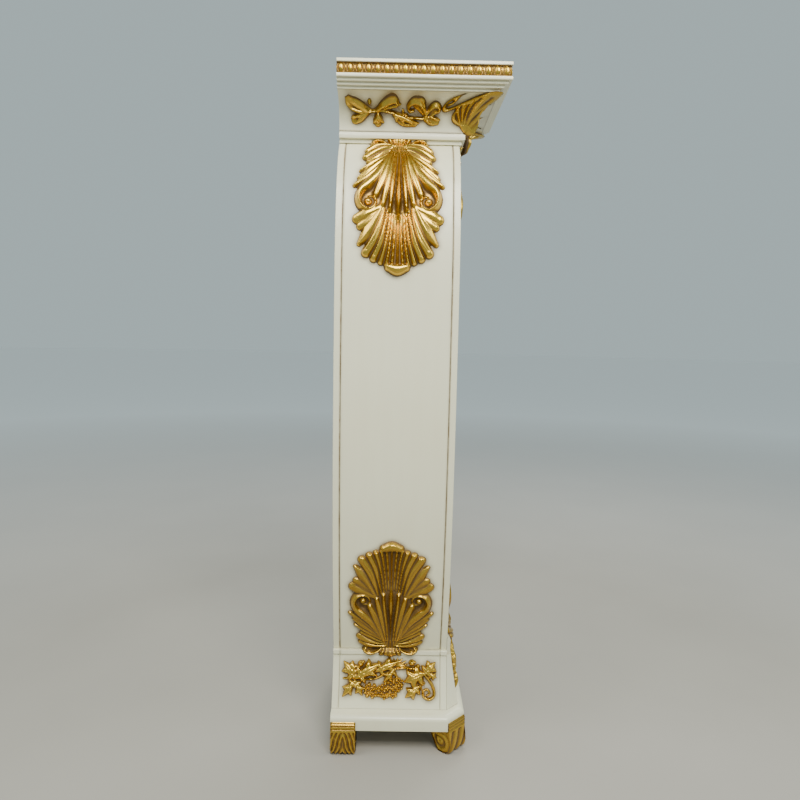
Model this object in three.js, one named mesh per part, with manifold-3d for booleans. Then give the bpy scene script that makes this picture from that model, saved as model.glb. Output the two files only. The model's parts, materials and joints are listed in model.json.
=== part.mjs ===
// Carved pedestal column with bowed sides, a flat back and gilt ornaments.
// Millimetres, +Z up. The flat back looks along +Y and the front along -Y.
// The origin is the bottom centre of the whole stand.

import * as THREE from 'three';
import { mergeVertices } from 'three/addons/utils/BufferGeometryUtils.js';
import Module from 'manifold-3d';

const wasm = await Module();
wasm.setup();

// ---- driving sizes ----

// Heights of the layers, from the floor up.
const FOOT_HEIGHT = 48;
const PLINTH_HEIGHT = 30;
const BASE_HEIGHT = 98;
const LEDGE_HEIGHT = 9;
const SHAFT_HEIGHT = 992;
const NECK_BAND_HEIGHT = 8;
const NECK_BEAD_HEIGHT = 10;
const NECK_FILLET_HEIGHT = 3;
const COVE_HEIGHT = 56;
const STEP_HEIGHT = 5;
const STEP_COUNT = 3;
const FASCIA_HEIGHT = 6;
const EGG_BAND_HEIGHT = 19;
const TOP_EDGE_HEIGHT = 6;

// Plan sizes of the shaft.
const SHAFT_DEPTH = 228;
const NECK_WIDTH = 134;
const BELLY_WIDTH = 302;
const WAIST_WIDTH = 166;
// Share of the shaft's height at which the belly is widest, and how full the bow is there.
const BELLY_SHARE = 0.627;
const SHOULDER_FULLNESS = [3.6, 0.76];
const LEG_FULLNESS = [2.5, 0.95];
const BOARD_THICKNESS = 13;
const PANEL_THICKNESS = 9;
const GROOVE_DEPTH = 1.5;

// Capital, measured outwards from the neck.
const OVERHANG = 85;
const STEP_PROJECTION = 6.5;
const COVE_TOP_PROJECTION = 64;
const COVE_FOOT_PROJECTION = 8;
const NECK_BAND_PROJECTION = 4;
const NECK_BEAD_PROJECTION = 10;
const NECK_FILLET_PROJECTION = 7;
const CORNICE_THICKNESS = 40;
const EGG_BAND_THICKNESS = 7;
const EGG_RELIEF = 2.6;
const EGG_PITCH = 16.8;
const NECK_BLOCK_INSET = 5;

// Base and plinth.
const BASE_TOP_WIDTH = 176;
const BASE_FOOT_WIDTH = 238;
const LEDGE_PROJECTION = 8;
const FLARE_RISE = 30;
const FLARE_BEVEL = 12;
const FLARE_TOP_PROJECTION = 8;
const FLARE_FOOT_PROJECTION = 24;
const FLARE_EDGE = 1;
const PLINTH_WIDTH = 292;
const PLINTH_DEPTH = 264;
const PLINTH_CORNER_CUT = 35;
const PLINTH_ROUND_WIDTH = 12;
const PLINTH_ROUND_HEIGHT = 10;
// How hollow the side flare and the front flare are: 1 is straight.
const SIDE_FLARE_HOLLOW = 1.4;
const FRONT_FLARE_HOLLOW = 1.15;

// Feet.
const FOOT_WIDTH = 50;
const BACK_FOOT_LENGTH = 46;
const FRONT_FOOT_LENGTH = 72;
const FOOT_BULGE = 5;
const FOOT_PLATE_RISE = 18;
const FOOT_TOE = 2;
const FOOT_LIP = 6;

// Carvings. The shell is the same leaf as the acanthus, stood on its root and a little shorter.
const LEAF_LENGTH = 262;
const SHELL_SHARE = 0.93;
const SHELL_RELIEF_SHARE = 0.8;
const CARVING_EDGE = 3;
const VALLEY_SHARE = 0.66;
const VALLEY_BACK = 0.25;
const LEAF_ROWS = 3;
// Bends smaller than this are taken out of the carved faces.
const LEAF_TOLERANCE = 0.25;
const CUT_DEPTH = 8;
// A step in a leaf's ground is eased over this height, this share of it before the step.
const STEP_EASE = 8;
const STEP_LEAD = 0.75;
// Height over which a leaf's rise turns from square to the bow to level.
const LEVEL_EASE = 20;
const SCROLL_LENGTH = 178;
const FRONT_SCROLL_LENGTH = 84;
const SCROLL_HEIGHT = 44;
const SCROLL_RELIEF = 11;
const SCROLL_BACK_MARGIN = 11;
const SCROLL_SWELLS = 12;
// Height under the cove's top over which its slope is held, because the curve ends level there.
const COVE_LIP = 8;
const CORNER_LEAF_REACH = 64;
const CORNER_LEAF_FOOT_REACH = 14;
const CORNER_LEAF_RELIEF = 12;
const CORNER_LEAF_LEAN = 11;
const PLAQUE_LENGTH = 192;
const FRONT_PLAQUE_LENGTH = 146;
const PLAQUE_HEIGHT = 76;
const PLAQUE_RELIEF = 13;
const PLAQUE_SWELLS = 30;

// Inside.
const FORMER_THICKNESS = 18;
const FORMER_COUNT = 3;
const END_BLOCK_HEIGHT = 40;
const SCREW_RADIUS = 2.5;
const SCREW_HEAD_RADIUS = 5;
const SCREW_HEAD_HEIGHT = 3;
const SCREW_BITE = 24;
const SCREW_INSET = 30;

// Gap that glued faces keep, and the slightly wider one round a screw.
const GLUE_GAP = 0.3;
const HOLE_CLEARANCE = 0.4;

// ---- levels and planes that follow from the sizes ----

const PLINTH_BOTTOM = FOOT_HEIGHT;
const PLINTH_TOP = PLINTH_BOTTOM + PLINTH_HEIGHT;
const LEDGE_BOTTOM = PLINTH_TOP + BASE_HEIGHT;
const SHAFT_BOTTOM = LEDGE_BOTTOM + LEDGE_HEIGHT;
const SHAFT_TOP = SHAFT_BOTTOM + SHAFT_HEIGHT;
const NECK_BEAD_BOTTOM = SHAFT_TOP + NECK_BAND_HEIGHT;
const NECK_FILLET_BOTTOM = NECK_BEAD_BOTTOM + NECK_BEAD_HEIGHT;
const COVE_BOTTOM = NECK_FILLET_BOTTOM + NECK_FILLET_HEIGHT;
const COVE_TOP = COVE_BOTTOM + COVE_HEIGHT;
const FASCIA_BOTTOM = COVE_TOP + STEP_COUNT * STEP_HEIGHT;
const EGG_BAND_BOTTOM = FASCIA_BOTTOM + FASCIA_HEIGHT;
const TOP_EDGE_BOTTOM = EGG_BAND_BOTTOM + EGG_BAND_HEIGHT;
const TOP = TOP_EDGE_BOTTOM + TOP_EDGE_HEIGHT;

const TOTAL_DEPTH = SHAFT_DEPTH + OVERHANG;
const BACK_Y = TOTAL_DEPTH / 2;
const FRONT_Y = BACK_Y - SHAFT_DEPTH;
const AXIS_Y = BACK_Y - SHAFT_DEPTH / 2;
const FLARE_TOP = SHAFT_BOTTOM + FLARE_RISE;
const FLARE_SHOULDER = FLARE_TOP - FLARE_BEVEL;

// ---- materials ----

const IVORY = new THREE.MeshStandardMaterial({ color: 0xe9e2cc, roughness: 0.35 });
const GILT = new THREE.MeshStandardMaterial({ color: 0xb98a34, roughness: 0.35, metalness: 0.9 });
const BARE_WOOD = new THREE.MeshStandardMaterial({ color: 0xc9a878, roughness: 0.7 });
const STEEL = new THREE.MeshStandardMaterial({ color: 0x9b9b9b, roughness: 0.4, metalness: 1 });

const stand = new THREE.Group();

function addPiece(name, geometry, material) {
  const mesh = new THREE.Mesh(geometry, material.clone());
  mesh.name = name;
  stand.add(mesh);
  return mesh;
}

// ---- outlines ----

// Half width of the shaft at height z: widest at the belly, drawn in to the neck and the waist.
function bow(z) {
  const belly = SHAFT_BOTTOM + SHAFT_HEIGHT * BELLY_SHARE;
  const above = z > belly;
  const reach = above ? SHAFT_TOP - belly : belly - SHAFT_BOTTOM;
  const end = (above ? NECK_WIDTH : WAIST_WIDTH) / 2;
  const share = Math.min(1, Math.abs(z - belly) / reach);
  const [bend, ease] = above ? SHOULDER_FULLNESS : LEG_FULLNESS;
  return end + (BELLY_WIDTH / 2 - end) * (1 - share ** bend) ** ease;
}

// Half width of the base at height z: a hollow flare from under the ledge to the plinth.
function baseFlare(z) {
  const share = (LEDGE_BOTTOM - z) / BASE_HEIGHT;
  return BASE_TOP_WIDTH / 2 + (BASE_FOOT_WIDTH - BASE_TOP_WIDTH) / 2 * share ** SIDE_FLARE_HOLLOW;
}

// How far the front flare stands out of the front board at height z.
function frontFlare(z) {
  if (z > SHAFT_BOTTOM) {
    const share = Math.min(1, (FLARE_TOP - z) / (FLARE_TOP - FLARE_SHOULDER));
    return FLARE_EDGE + (FLARE_TOP_PROJECTION - FLARE_EDGE) * share;
  }
  const share = (SHAFT_BOTTOM - z) / (SHAFT_BOTTOM - PLINTH_TOP);
  const swell = FLARE_FOOT_PROJECTION - FLARE_TOP_PROJECTION;
  return FLARE_TOP_PROJECTION + swell * share ** FRONT_FLARE_HOLLOW;
}

// Evenly spread levels from low to high, both included.
function levelsBetween(low, high, steps) {
  return Array.from({ length: steps + 1 }, (_, i) => low + (high - low) * i / steps);
}

const SHELL_LOW = LEDGE_BOTTOM + 1;
const SHELL_HIGH = SHELL_LOW + LEAF_LENGTH * SHELL_SHARE;
const ACANTHUS_HIGH = NECK_BEAD_BOTTOM - GLUE_GAP;
const ACANTHUS_LOW = ACANTHUS_HIGH - LEAF_LENGTH;

// Levels at which the bowed faces bend; carvings that lie on them use the same levels.
const SHELL_ROWS = 11;
const PLAIN_ROWS = 9;
const ACANTHUS_ROWS = 13;
const BASE_ROWS = 5;
const COVE_ROWS = 9;
const shaftLevels = [
  ...levelsBetween(SHAFT_BOTTOM, SHELL_HIGH, SHELL_ROWS),
  ...levelsBetween(SHELL_HIGH, ACANTHUS_LOW, PLAIN_ROWS).slice(1),
  ...levelsBetween(ACANTHUS_LOW, SHAFT_TOP, ACANTHUS_ROWS).slice(1),
];
const baseLevels = levelsBetween(PLINTH_TOP, LEDGE_BOTTOM, BASE_ROWS);
const flareLevels = [...baseLevels, SHAFT_BOTTOM, FLARE_SHOULDER, FLARE_TOP];

// One side's outline from the plinth to the neck as points (half width, height).
function sideOutline() {
  const points = baseLevels.map((z) => [baseFlare(z), z]);
  const ledge = WAIST_WIDTH / 2 + LEDGE_PROJECTION;
  points.push([ledge, LEDGE_BOTTOM], [ledge, SHAFT_BOTTOM]);
  for (const z of shaftLevels) points.push([bow(z), z]);
  return points;
}

// Quarter hollow of the capital as points (projection from the neck, height).
function coveCurve(steps = COVE_ROWS) {
  const points = [];
  const reach = COVE_TOP_PROJECTION - COVE_FOOT_PROJECTION;
  for (let i = 0; i <= steps; i++) {
    const turn = Math.PI / 2 * i / steps;
    const out = COVE_TOP_PROJECTION - reach * Math.cos(turn);
    points.push([out, COVE_BOTTOM + COVE_HEIGHT * Math.sin(turn)]);
  }
  return points;
}

// Straight interpolation in a list of [position, value] pairs.
function along(list, position) {
  const last = list.length - 1;
  if (position <= list[0][0]) return list[0][1];
  for (let i = 1; i <= last; i++) {
    const [start, low] = list[i - 1];
    const [end, high] = list[i];
    if (position <= end) return low + (high - low) * (position - start) / (end - start);
  }
  return list[last][1];
}

// The shaft's half width as it is really faceted.
function facetHalf(z) {
  return along(shaftLevels.map((level) => [level, bow(level)]), z);
}

// ---- making closed solids ----

// A geometry from points and triangles, turned so that its faces point outwards.
function closedGeometry(points, triangles) {
  let volume = 0;
  for (const [a, b, c] of triangles) {
    volume += points[a].dot(new THREE.Vector3().crossVectors(points[b], points[c]));
  }
  const order = volume > 0 ? triangles : triangles.map(([a, b, c]) => [a, c, b]);
  return meshGeometry(points.flatMap((p) => [p.x, p.y, p.z]), order.flat());
}

function meshGeometry(coordinates, index) {
  const geometry = new THREE.BufferGeometry();
  geometry.setAttribute('position', new THREE.Float32BufferAttribute(coordinates, 3));
  geometry.setIndex(index);
  geometry.computeVertexNormals();
  return geometry;
}

// A solid through rings of equal count; the end caps are cut from the ring's flat outline.
function loft(rings, outline) {
  const count = outline.length;
  const points = rings.flat();
  const triangles = [];
  for (let r = 0; r < rings.length - 1; r++) {
    for (let i = 0; i < count; i++) {
      const next = (i + 1) % count;
      const low = r * count;
      const high = low + count;
      triangles.push([low + i, low + next, high + next], [low + i, high + next, high + i]);
    }
  }
  const end = (rings.length - 1) * count;
  const flat = outline.map(([x, y]) => new THREE.Vector2(x, y));
  const turned = THREE.ShapeUtils.isClockWise(flat);
  for (const face of THREE.ShapeUtils.triangulateShape(flat, [])) {
    const [a, b, c] = turned ? face : [face[0], face[2], face[1]];
    triangles.push([a, b, c], [end + a, end + c, end + b]);
  }
  return closedGeometry(points, triangles);
}

// A solid between a seat grid and a face grid of the same size.
function reliefSolid(seat, face) {
  const rows = seat.length;
  const columns = seat[0].length;
  const points = [...seat.flat(), ...face.flat()];
  const offset = rows * columns;
  const at = (i, j) => i * columns + j;
  const triangles = [];
  const quad = (a, b, c, d) => triangles.push([a, b, c], [a, c, d]);
  for (let i = 0; i < rows - 1; i++) {
    for (let j = 0; j < columns - 1; j++) {
      quad(at(i, j), at(i, j + 1), at(i + 1, j + 1), at(i + 1, j));
      quad(offset + at(i, j), offset + at(i + 1, j), offset + at(i + 1, j + 1), offset + at(i, j + 1));
    }
  }
  const wall = (a, b) => quad(b, a, offset + a, offset + b);
  for (let i = 0; i < rows - 1; i++) {
    wall(at(i + 1, 0), at(i, 0));
    wall(at(i, columns - 1), at(i + 1, columns - 1));
  }
  for (let j = 0; j < columns - 1; j++) {
    wall(at(0, j), at(0, j + 1));
    wall(at(rows - 1, j + 1), at(rows - 1, j));
  }
  return closedGeometry(points, triangles);
}

function box(low, high) {
  const size = new THREE.Vector3().subVectors(high, low);
  const middle = new THREE.Vector3().addVectors(high, low).multiplyScalar(0.5);
  return new THREE.BoxGeometry(size.x, size.y, size.z).translate(middle.x, middle.y, middle.z);
}

function toSolid(geometry) {
  const bare = geometry.clone();
  bare.deleteAttribute('normal');
  bare.deleteAttribute('uv');
  const merged = mergeVertices(bare, 1e-3);
  return new wasm.Manifold(new wasm.Mesh({
    numProp: 3,
    vertProperties: new Float32Array(merged.attributes.position.array),
    triVerts: new Uint32Array(merged.index.array),
  }));
}

function toGeometry(solid) {
  const mesh = solid.getMesh();
  return meshGeometry(Array.from(mesh.vertProperties), Array.from(mesh.triVerts));
}

function cutHoles(geometry, holes) {
  let solid = toSolid(geometry);
  for (const hole of holes) solid = solid.subtract(toSolid(hole));
  return toGeometry(solid);
}

// An upright round bar from low to high.
function bar(x, y, low, high, radius) {
  return new THREE.CylinderGeometry(radius, radius, high - low, 10)
    .rotateX(Math.PI / 2)
    .translate(x, y, (low + high) / 2);
}

// ---- where a surface lies: side -1 is left, 1 is right ----

// A point on a side face, `across` measured from the middle towards the front.
function onSide(side, half, across, z, lift = 0, slope = 0) {
  const length = Math.hypot(1, slope);
  const x = half + GLUE_GAP + lift / length;
  return new THREE.Vector3(side * x, AXIS_Y - across, z - lift * slope / length);
}

// A point on a front face that stands `out` in front of the front board.
function onFront(out, across, z, lift = 0, slope = 0) {
  const length = Math.hypot(1, slope);
  const y = FRONT_Y - out - GLUE_GAP - lift / length;
  return new THREE.Vector3(across, y, z - lift * slope / length);
}

function slopeOf(curve, z) {
  return (curve(z + 1) - curve(z - 1)) / 2;
}

// ---- shaft ----

// A flat board with the bowed outline, glued between y = front and y = front + thickness.
function bowedBoard(front) {
  const outline = sideOutline();
  const shape = new THREE.Shape();
  shape.setFromPoints([
    ...outline.map(([half, z]) => new THREE.Vector2(half, z)),
    ...outline.toReversed().map(([half, z]) => new THREE.Vector2(-half, z)),
  ]);
  const geometry = new THREE.ExtrudeGeometry(shape, { depth: BOARD_THICKNESS, bevelEnabled: false });
  return geometry.rotateX(Math.PI / 2).translate(0, front + BOARD_THICKNESS, 0);
}

// A skin of the given thickness behind an outline, with its long edges eased to a V.
function bentPanel(side, outline) {
  const front = FRONT_Y + BOARD_THICKNESS + GLUE_GAP;
  const back = BACK_Y - BOARD_THICKNESS - GLUE_GAP;
  const section = [
    [0, front + GROOVE_DEPTH],
    [0, back - GROOVE_DEPTH],
    [GROOVE_DEPTH, back],
    [PANEL_THICKNESS, back],
    [PANEL_THICKNESS, front],
    [GROOVE_DEPTH, front],
  ];
  const rings = outline.map(([half, z]) => (
    section.map(([inward, y]) => new THREE.Vector3(side * (half - inward), y, z))
  ));
  return loft(rings, section);
}

function addShaft() {
  addPiece('front_board', bowedBoard(FRONT_Y), IVORY);
  addPiece('back_board', bowedBoard(BACK_Y - BOARD_THICKNESS), IVORY);
  const shaft = shaftLevels.map((z) => [bow(z), z]);
  const ledge = WAIST_WIDTH / 2 + LEDGE_PROJECTION;
  const base = [
    ...baseLevels.slice(0, -1).map((z) => [baseFlare(z), z]),
    [baseFlare(LEDGE_BOTTOM), LEDGE_BOTTOM - GLUE_GAP],
    [ledge, LEDGE_BOTTOM],
    [ledge, SHAFT_BOTTOM - GLUE_GAP],
  ];
  for (const [side, word] of [[-1, 'left'], [1, 'right']]) {
    addPiece(`side_panel_${word}`, bentPanel(side, shaft), IVORY);
    addPiece(`base_panel_${word}`, bentPanel(side, base), IVORY);
  }
}

// The block that swells out of the front board at its foot, with its ends cut back at 45 degrees.
function addFrontFlare() {
  const outline = [[-1, 0], [1, 0], [1, 1], [-1, 1]];
  const rings = flareLevels.map((z) => {
    const half = z > LEDGE_BOTTOM ? bow(Math.max(z, SHAFT_BOTTOM)) : baseFlare(z);
    const out = frontFlare(z);
    const back = FRONT_Y - GLUE_GAP;
    return [
      new THREE.Vector3(-half, back, z),
      new THREE.Vector3(half, back, z),
      new THREE.Vector3(half - out, FRONT_Y - out, z),
      new THREE.Vector3(out - half, FRONT_Y - out, z),
    ];
  });
  addPiece('base_front_block', loft(rings, outline), IVORY);
}

// ---- inside of the shaft ----

function innerHalf(low, high) {
  return Math.min(facetHalf(low), facetHalf(high)) - PANEL_THICKNESS - GLUE_GAP;
}

function insideBlock(half, low, high) {
  const front = FRONT_Y + BOARD_THICKNESS + GLUE_GAP;
  const back = BACK_Y - BOARD_THICKNESS - GLUE_GAP;
  return box(new THREE.Vector3(-half, front, low), new THREE.Vector3(half, back, high));
}

const SCREW_X = WAIST_WIDTH / 2 - PANEL_THICKNESS - SCREW_INSET;
const SCREW_Y = SHAFT_DEPTH / 2 - BOARD_THICKNESS - SCREW_INSET;
const SCREW_PLACES = [[-1, -1], [1, -1], [1, 1], [-1, 1]];

function screwHoles(low, high, extra) {
  return SCREW_PLACES.map(([i, j]) => bar(i * SCREW_X, AXIS_Y + j * SCREW_Y, low, high, extra));
}

// Screws with flat heads, each a piece of its own; they go upwards from `head` and end at `tip`.
function addScrews(name, head, tip) {
  SCREW_PLACES.forEach(([i, j], index) => {
    const x = i * SCREW_X;
    const y = AXIS_Y + j * SCREW_Y;
    const shank = toSolid(bar(x, y, head - 1, tip, SCREW_RADIUS));
    const screw = shank.add(toSolid(bar(x, y, head - SCREW_HEAD_HEIGHT, head, SCREW_HEAD_RADIUS)));
    addPiece(`${name}_${index + 1}`, toGeometry(screw), STEEL);
  });
}

const HOLE_RADIUS = SCREW_RADIUS + HOLE_CLEARANCE;
const HEAD_HOLE_RADIUS = SCREW_HEAD_RADIUS + HOLE_CLEARANCE;

function addInside() {
  const blockLow = PLINTH_TOP + GLUE_GAP;
  const blockHalf = BASE_TOP_WIDTH / 2 - PANEL_THICKNESS - GLUE_GAP;
  const tip = PLINTH_TOP + SCREW_BITE;
  const bottom = cutHoles(
    insideBlock(blockHalf, blockLow, blockLow + END_BLOCK_HEIGHT),
    screwHoles(blockLow - 1, tip + HOLE_CLEARANCE, HOLE_RADIUS),
  );
  addPiece('shaft_bottom_block', bottom, BARE_WOOD);
  const neckTop = SHAFT_TOP - GLUE_GAP;
  const neckLow = neckTop - END_BLOCK_HEIGHT;
  const top = cutHoles(
    insideBlock(innerHalf(neckLow, neckTop), neckLow, neckTop),
    screwHoles(neckLow - 1, neckTop + 1, HOLE_RADIUS),
  );
  addPiece('shaft_top_block', top, BARE_WOOD);
  for (let i = 1; i <= FORMER_COUNT; i++) {
    const middle = SHAFT_BOTTOM + SHAFT_HEIGHT * i / (FORMER_COUNT + 1);
    const low = middle - FORMER_THICKNESS / 2;
    const high = middle + FORMER_THICKNESS / 2;
    addPiece(`former_${i}`, insideBlock(innerHalf(low, high), low, high), BARE_WOOD);
  }
  addScrews('base_screw', PLINTH_BOTTOM + SCREW_HEAD_HEIGHT + HOLE_CLEARANCE, tip);
  addScrews('neck_screw', neckLow - GLUE_GAP, SHAFT_TOP + SCREW_BITE);
}

// ---- capital ----

// A moulding strip along the left side, the front or the right side, mitred at the front corners.
// The profile is a list of points (projection from the neck, height).
function mouldingStrip(place, profile) {
  const half = (out) => NECK_WIDTH / 2 + out;
  const mitre = GLUE_GAP / 2;
  if (place === 'front') {
    const ends = [-1, 1].map((side) => profile.map(([out, z]) => (
      new THREE.Vector3(side * (half(out) - mitre), FRONT_Y - out, z)
    )));
    return loft(ends, profile);
  }
  const side = place === 'left' ? -1 : 1;
  const ends = [
    profile.map(([out, z]) => new THREE.Vector3(side * half(out), BACK_Y, z)),
    profile.map(([out, z]) => new THREE.Vector3(side * half(out), FRONT_Y - out + mitre, z)),
  ];
  return loft(ends, profile);
}

function corniceProfile() {
  const inner = OVERHANG - CORNICE_THICKNESS;
  const points = [[inner, COVE_TOP + GLUE_GAP]];
  for (let i = STEP_COUNT; i > 0; i--) {
    const out = OVERHANG - i * STEP_PROJECTION;
    const low = COVE_TOP + (STEP_COUNT - i) * STEP_HEIGHT;
    points.push([out, Math.max(low, COVE_TOP + GLUE_GAP)], [out, low + STEP_HEIGHT]);
  }
  const top = EGG_BAND_BOTTOM - GLUE_GAP;
  points.push([OVERHANG, FASCIA_BOTTOM], [OVERHANG, top], [inner, top]);
  return points;
}

function coveProfile() {
  return [[-NECK_BLOCK_INSET, COVE_BOTTOM], ...coveCurve(), [-NECK_BLOCK_INSET, COVE_TOP]];
}

function neckProfile() {
  const top = COVE_BOTTOM - GLUE_GAP;
  return [
    [-NECK_BLOCK_INSET, SHAFT_TOP + GLUE_GAP],
    [NECK_BAND_PROJECTION, SHAFT_TOP + GLUE_GAP],
    [NECK_BAND_PROJECTION, NECK_BEAD_BOTTOM],
    [NECK_BEAD_PROJECTION, NECK_BEAD_BOTTOM],
    [NECK_BEAD_PROJECTION, NECK_FILLET_BOTTOM],
    [NECK_FILLET_PROJECTION, NECK_FILLET_BOTTOM],
    [NECK_FILLET_PROJECTION, top],
    [-NECK_BLOCK_INSET, top],
  ];
}

// Height of the egg row's face at a share of its width: a low rim and a round crown.
const EGG_ROWS = [[0, 0.1], [0.2, 0.75], [0.5, 1], [0.8, 0.75], [1, 0.1]];

// The egg row: every second column is a crown, the others are the hollows between.
function eggBand(place) {
  const inner = OVERHANG - EGG_BAND_THICKNESS + GLUE_GAP;
  const ground = OVERHANG - EGG_RELIEF;
  const isFront = place === 'front';
  const side = place === 'right' ? 1 : -1;
  const length = isFront ? NECK_WIDTH + 2 * OVERHANG : TOTAL_DEPTH;
  const eggs = Math.round(length / EGG_PITCH);
  const columns = 2 * eggs;
  const low = EGG_BAND_BOTTOM;
  const high = TOP_EDGE_BOTTOM - GLUE_GAP;
  const point = (i, share, out) => {
    const z = low + (high - low) * share;
    const mitre = GLUE_GAP / 2;
    const halfWidth = NECK_WIDTH / 2 + out - mitre;
    if (isFront) return new THREE.Vector3(halfWidth * (2 * i / columns - 1), FRONT_Y - out, z);
    const front = FRONT_Y - out + mitre;
    return new THREE.Vector3(side * (NECK_WIDTH / 2 + out), BACK_Y + (front - BACK_Y) * i / columns, z);
  };
  const seat = [];
  const face = [];
  for (let i = 0; i <= columns; i++) {
    const crown = i % 2 === 1 ? 1 : 0.1;
    seat.push(EGG_ROWS.map(([share]) => point(i, share, inner)));
    face.push(EGG_ROWS.map(([share, rise]) => point(i, share, ground + EGG_RELIEF * rise * crown)));
  }
  return reliefSolid(seat, face);
}

function topBoard() {
  const sheet = (inset, z) => [
    new THREE.Vector3(-NECK_WIDTH / 2 - OVERHANG + inset, BACK_Y, z),
    new THREE.Vector3(-NECK_WIDTH / 2 - OVERHANG + inset, BACK_Y - TOTAL_DEPTH + inset, z),
    new THREE.Vector3(NECK_WIDTH / 2 + OVERHANG - inset, BACK_Y - TOTAL_DEPTH + inset, z),
    new THREE.Vector3(NECK_WIDTH / 2 + OVERHANG - inset, BACK_Y, z),
  ];
  const rings = [
    sheet(EGG_BAND_THICKNESS, EGG_BAND_BOTTOM),
    sheet(EGG_BAND_THICKNESS, TOP_EDGE_BOTTOM),
    sheet(0, TOP_EDGE_BOTTOM),
    sheet(0, TOP),
  ];
  return loft(rings, [[0, 0], [0, 1], [1, 1], [1, 0]]);
}

function addCapital() {
  addPiece('top_board', topBoard(), IVORY);
  for (const place of ['left', 'front', 'right']) {
    addPiece(`egg_band_${place}`, eggBand(place), GILT);
    addPiece(`cornice_${place}`, mouldingStrip(place, corniceProfile()), IVORY);
    addPiece(`cove_${place}`, mouldingStrip(place, coveProfile()), IVORY);
    addPiece(`neck_moulding_${place}`, mouldingStrip(place, neckProfile()), IVORY);
  }
  const coreOut = OVERHANG - CORNICE_THICKNESS - GLUE_GAP;
  const core = box(
    new THREE.Vector3(-NECK_WIDTH / 2 - coreOut, FRONT_Y - coreOut, COVE_TOP + GLUE_GAP),
    new THREE.Vector3(NECK_WIDTH / 2 + coreOut, BACK_Y, EGG_BAND_BOTTOM - GLUE_GAP),
  );
  addPiece('cornice_core', core, BARE_WOOD);
  const neckIn = NECK_BLOCK_INSET + GLUE_GAP;
  const neck = box(
    new THREE.Vector3(-NECK_WIDTH / 2 + neckIn, FRONT_Y + neckIn, SHAFT_TOP + GLUE_GAP),
    new THREE.Vector3(NECK_WIDTH / 2 - neckIn, BACK_Y, COVE_TOP),
  );
  const holeTop = SHAFT_TOP + SCREW_BITE + HOLE_CLEARANCE;
  addPiece('neck_core', cutHoles(neck, screwHoles(SHAFT_TOP, holeTop, HOLE_RADIUS)), BARE_WOOD);
}

// ---- plinth and feet ----

function addPlinth() {
  const plan = (inset) => {
    const half = PLINTH_WIDTH / 2 - inset;
    const front = BACK_Y - PLINTH_DEPTH + inset;
    const cut = PLINTH_CORNER_CUT - inset * (2 - Math.SQRT2);
    const left = [[-half, BACK_Y], [-half, front + cut], [cut - half, front]];
    return [...left, ...left.toReversed().map(([x, y]) => [-x, y])];
  };
  const sheet = (inset, z) => plan(inset).map(([x, y]) => new THREE.Vector3(x, y, z));
  const rings = [sheet(0, PLINTH_BOTTOM)];
  const steps = 4;
  for (let i = 0; i <= steps; i++) {
    const turn = Math.PI / 2 * i / steps;
    const z = PLINTH_TOP - GLUE_GAP - PLINTH_ROUND_HEIGHT * (1 - Math.sin(turn));
    rings.push(sheet(PLINTH_ROUND_WIDTH * (1 - Math.cos(turn)), z));
  }
  const body = loft(rings, plan(0));
  const headTop = PLINTH_BOTTOM + SCREW_HEAD_HEIGHT + 2 * HOLE_CLEARANCE;
  const holes = [
    ...screwHoles(PLINTH_BOTTOM - 1, PLINTH_TOP + 1, HOLE_RADIUS),
    ...screwHoles(PLINTH_BOTTOM - 1, headTop, HEAD_HOLE_RADIUS),
  ];
  addPiece('plinth_board', cutHoles(body, holes), IVORY);
}

// A foot's outline in its own upright plane: `length` runs outwards to the plinth's face, and the
// carved plate at its outer end laps up over that face. The scroll swells by the bulge.
function footOutline(length, isScroll) {
  const shape = new THREE.Shape();
  const top = FOOT_HEIGHT - GLUE_GAP;
  const plate = FOOT_HEIGHT + FOOT_PLATE_RISE;
  const face = length + GLUE_GAP;
  const out = length + FOOT_BULGE;
  shape.moveTo(0, top);
  if (isScroll) {
    shape.bezierCurveTo(length * 0.3, top * 0.95, length * 0.42, top * 0.4, length * 0.66, 0);
  } else {
    shape.lineTo(0, 0);
  }
  shape.lineTo(length * 0.84, 0);
  const toe = out + FOOT_TOE;
  shape.bezierCurveTo(out - FOOT_TOE, 0, toe, top * 0.2, toe, top * 0.45);
  shape.bezierCurveTo(toe, top * 0.8, out - FOOT_TOE, top * 0.85, out - 1, plate - FOOT_LIP);
  shape.quadraticCurveTo(out - 1, plate, face, plate);
  shape.lineTo(face, top);
  return shape;
}

function foot(length, isScroll) {
  const options = { depth: FOOT_WIDTH, bevelEnabled: false, curveSegments: 6 };
  const geometry = new THREE.ExtrudeGeometry(footOutline(length, isScroll), options);
  // Outwards along +X, height along +Z, centred across Y.
  return geometry.rotateX(Math.PI / 2).translate(0, FOOT_WIDTH / 2, 0);
}

function addFeet() {
  const half = PLINTH_WIDTH / 2;
  const cornerX = half - PLINTH_CORNER_CUT / 2;
  const cornerY = BACK_Y - PLINTH_DEPTH + PLINTH_CORNER_CUT / 2;
  const tail = FRONT_FOOT_LENGTH / Math.SQRT2;
  for (const [side, word] of [[-1, 'left'], [1, 'right']]) {
    const back = addPiece(`foot_back_${word}`, foot(BACK_FOOT_LENGTH, false), GILT);
    back.position.set(side * (half - BACK_FOOT_LENGTH), BACK_Y - FOOT_WIDTH / 2, 0);
    back.rotation.z = side < 0 ? Math.PI : 0;
    const front = addPiece(`foot_front_${word}`, foot(FRONT_FOOT_LENGTH, true), GILT);
    front.position.set(side * (cornerX - tail), cornerY + tail, 0);
    front.rotation.z = side < 0 ? -Math.PI * 3 / 4 : -Math.PI / 4;
  }
}

// ---- carvings ----

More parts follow.
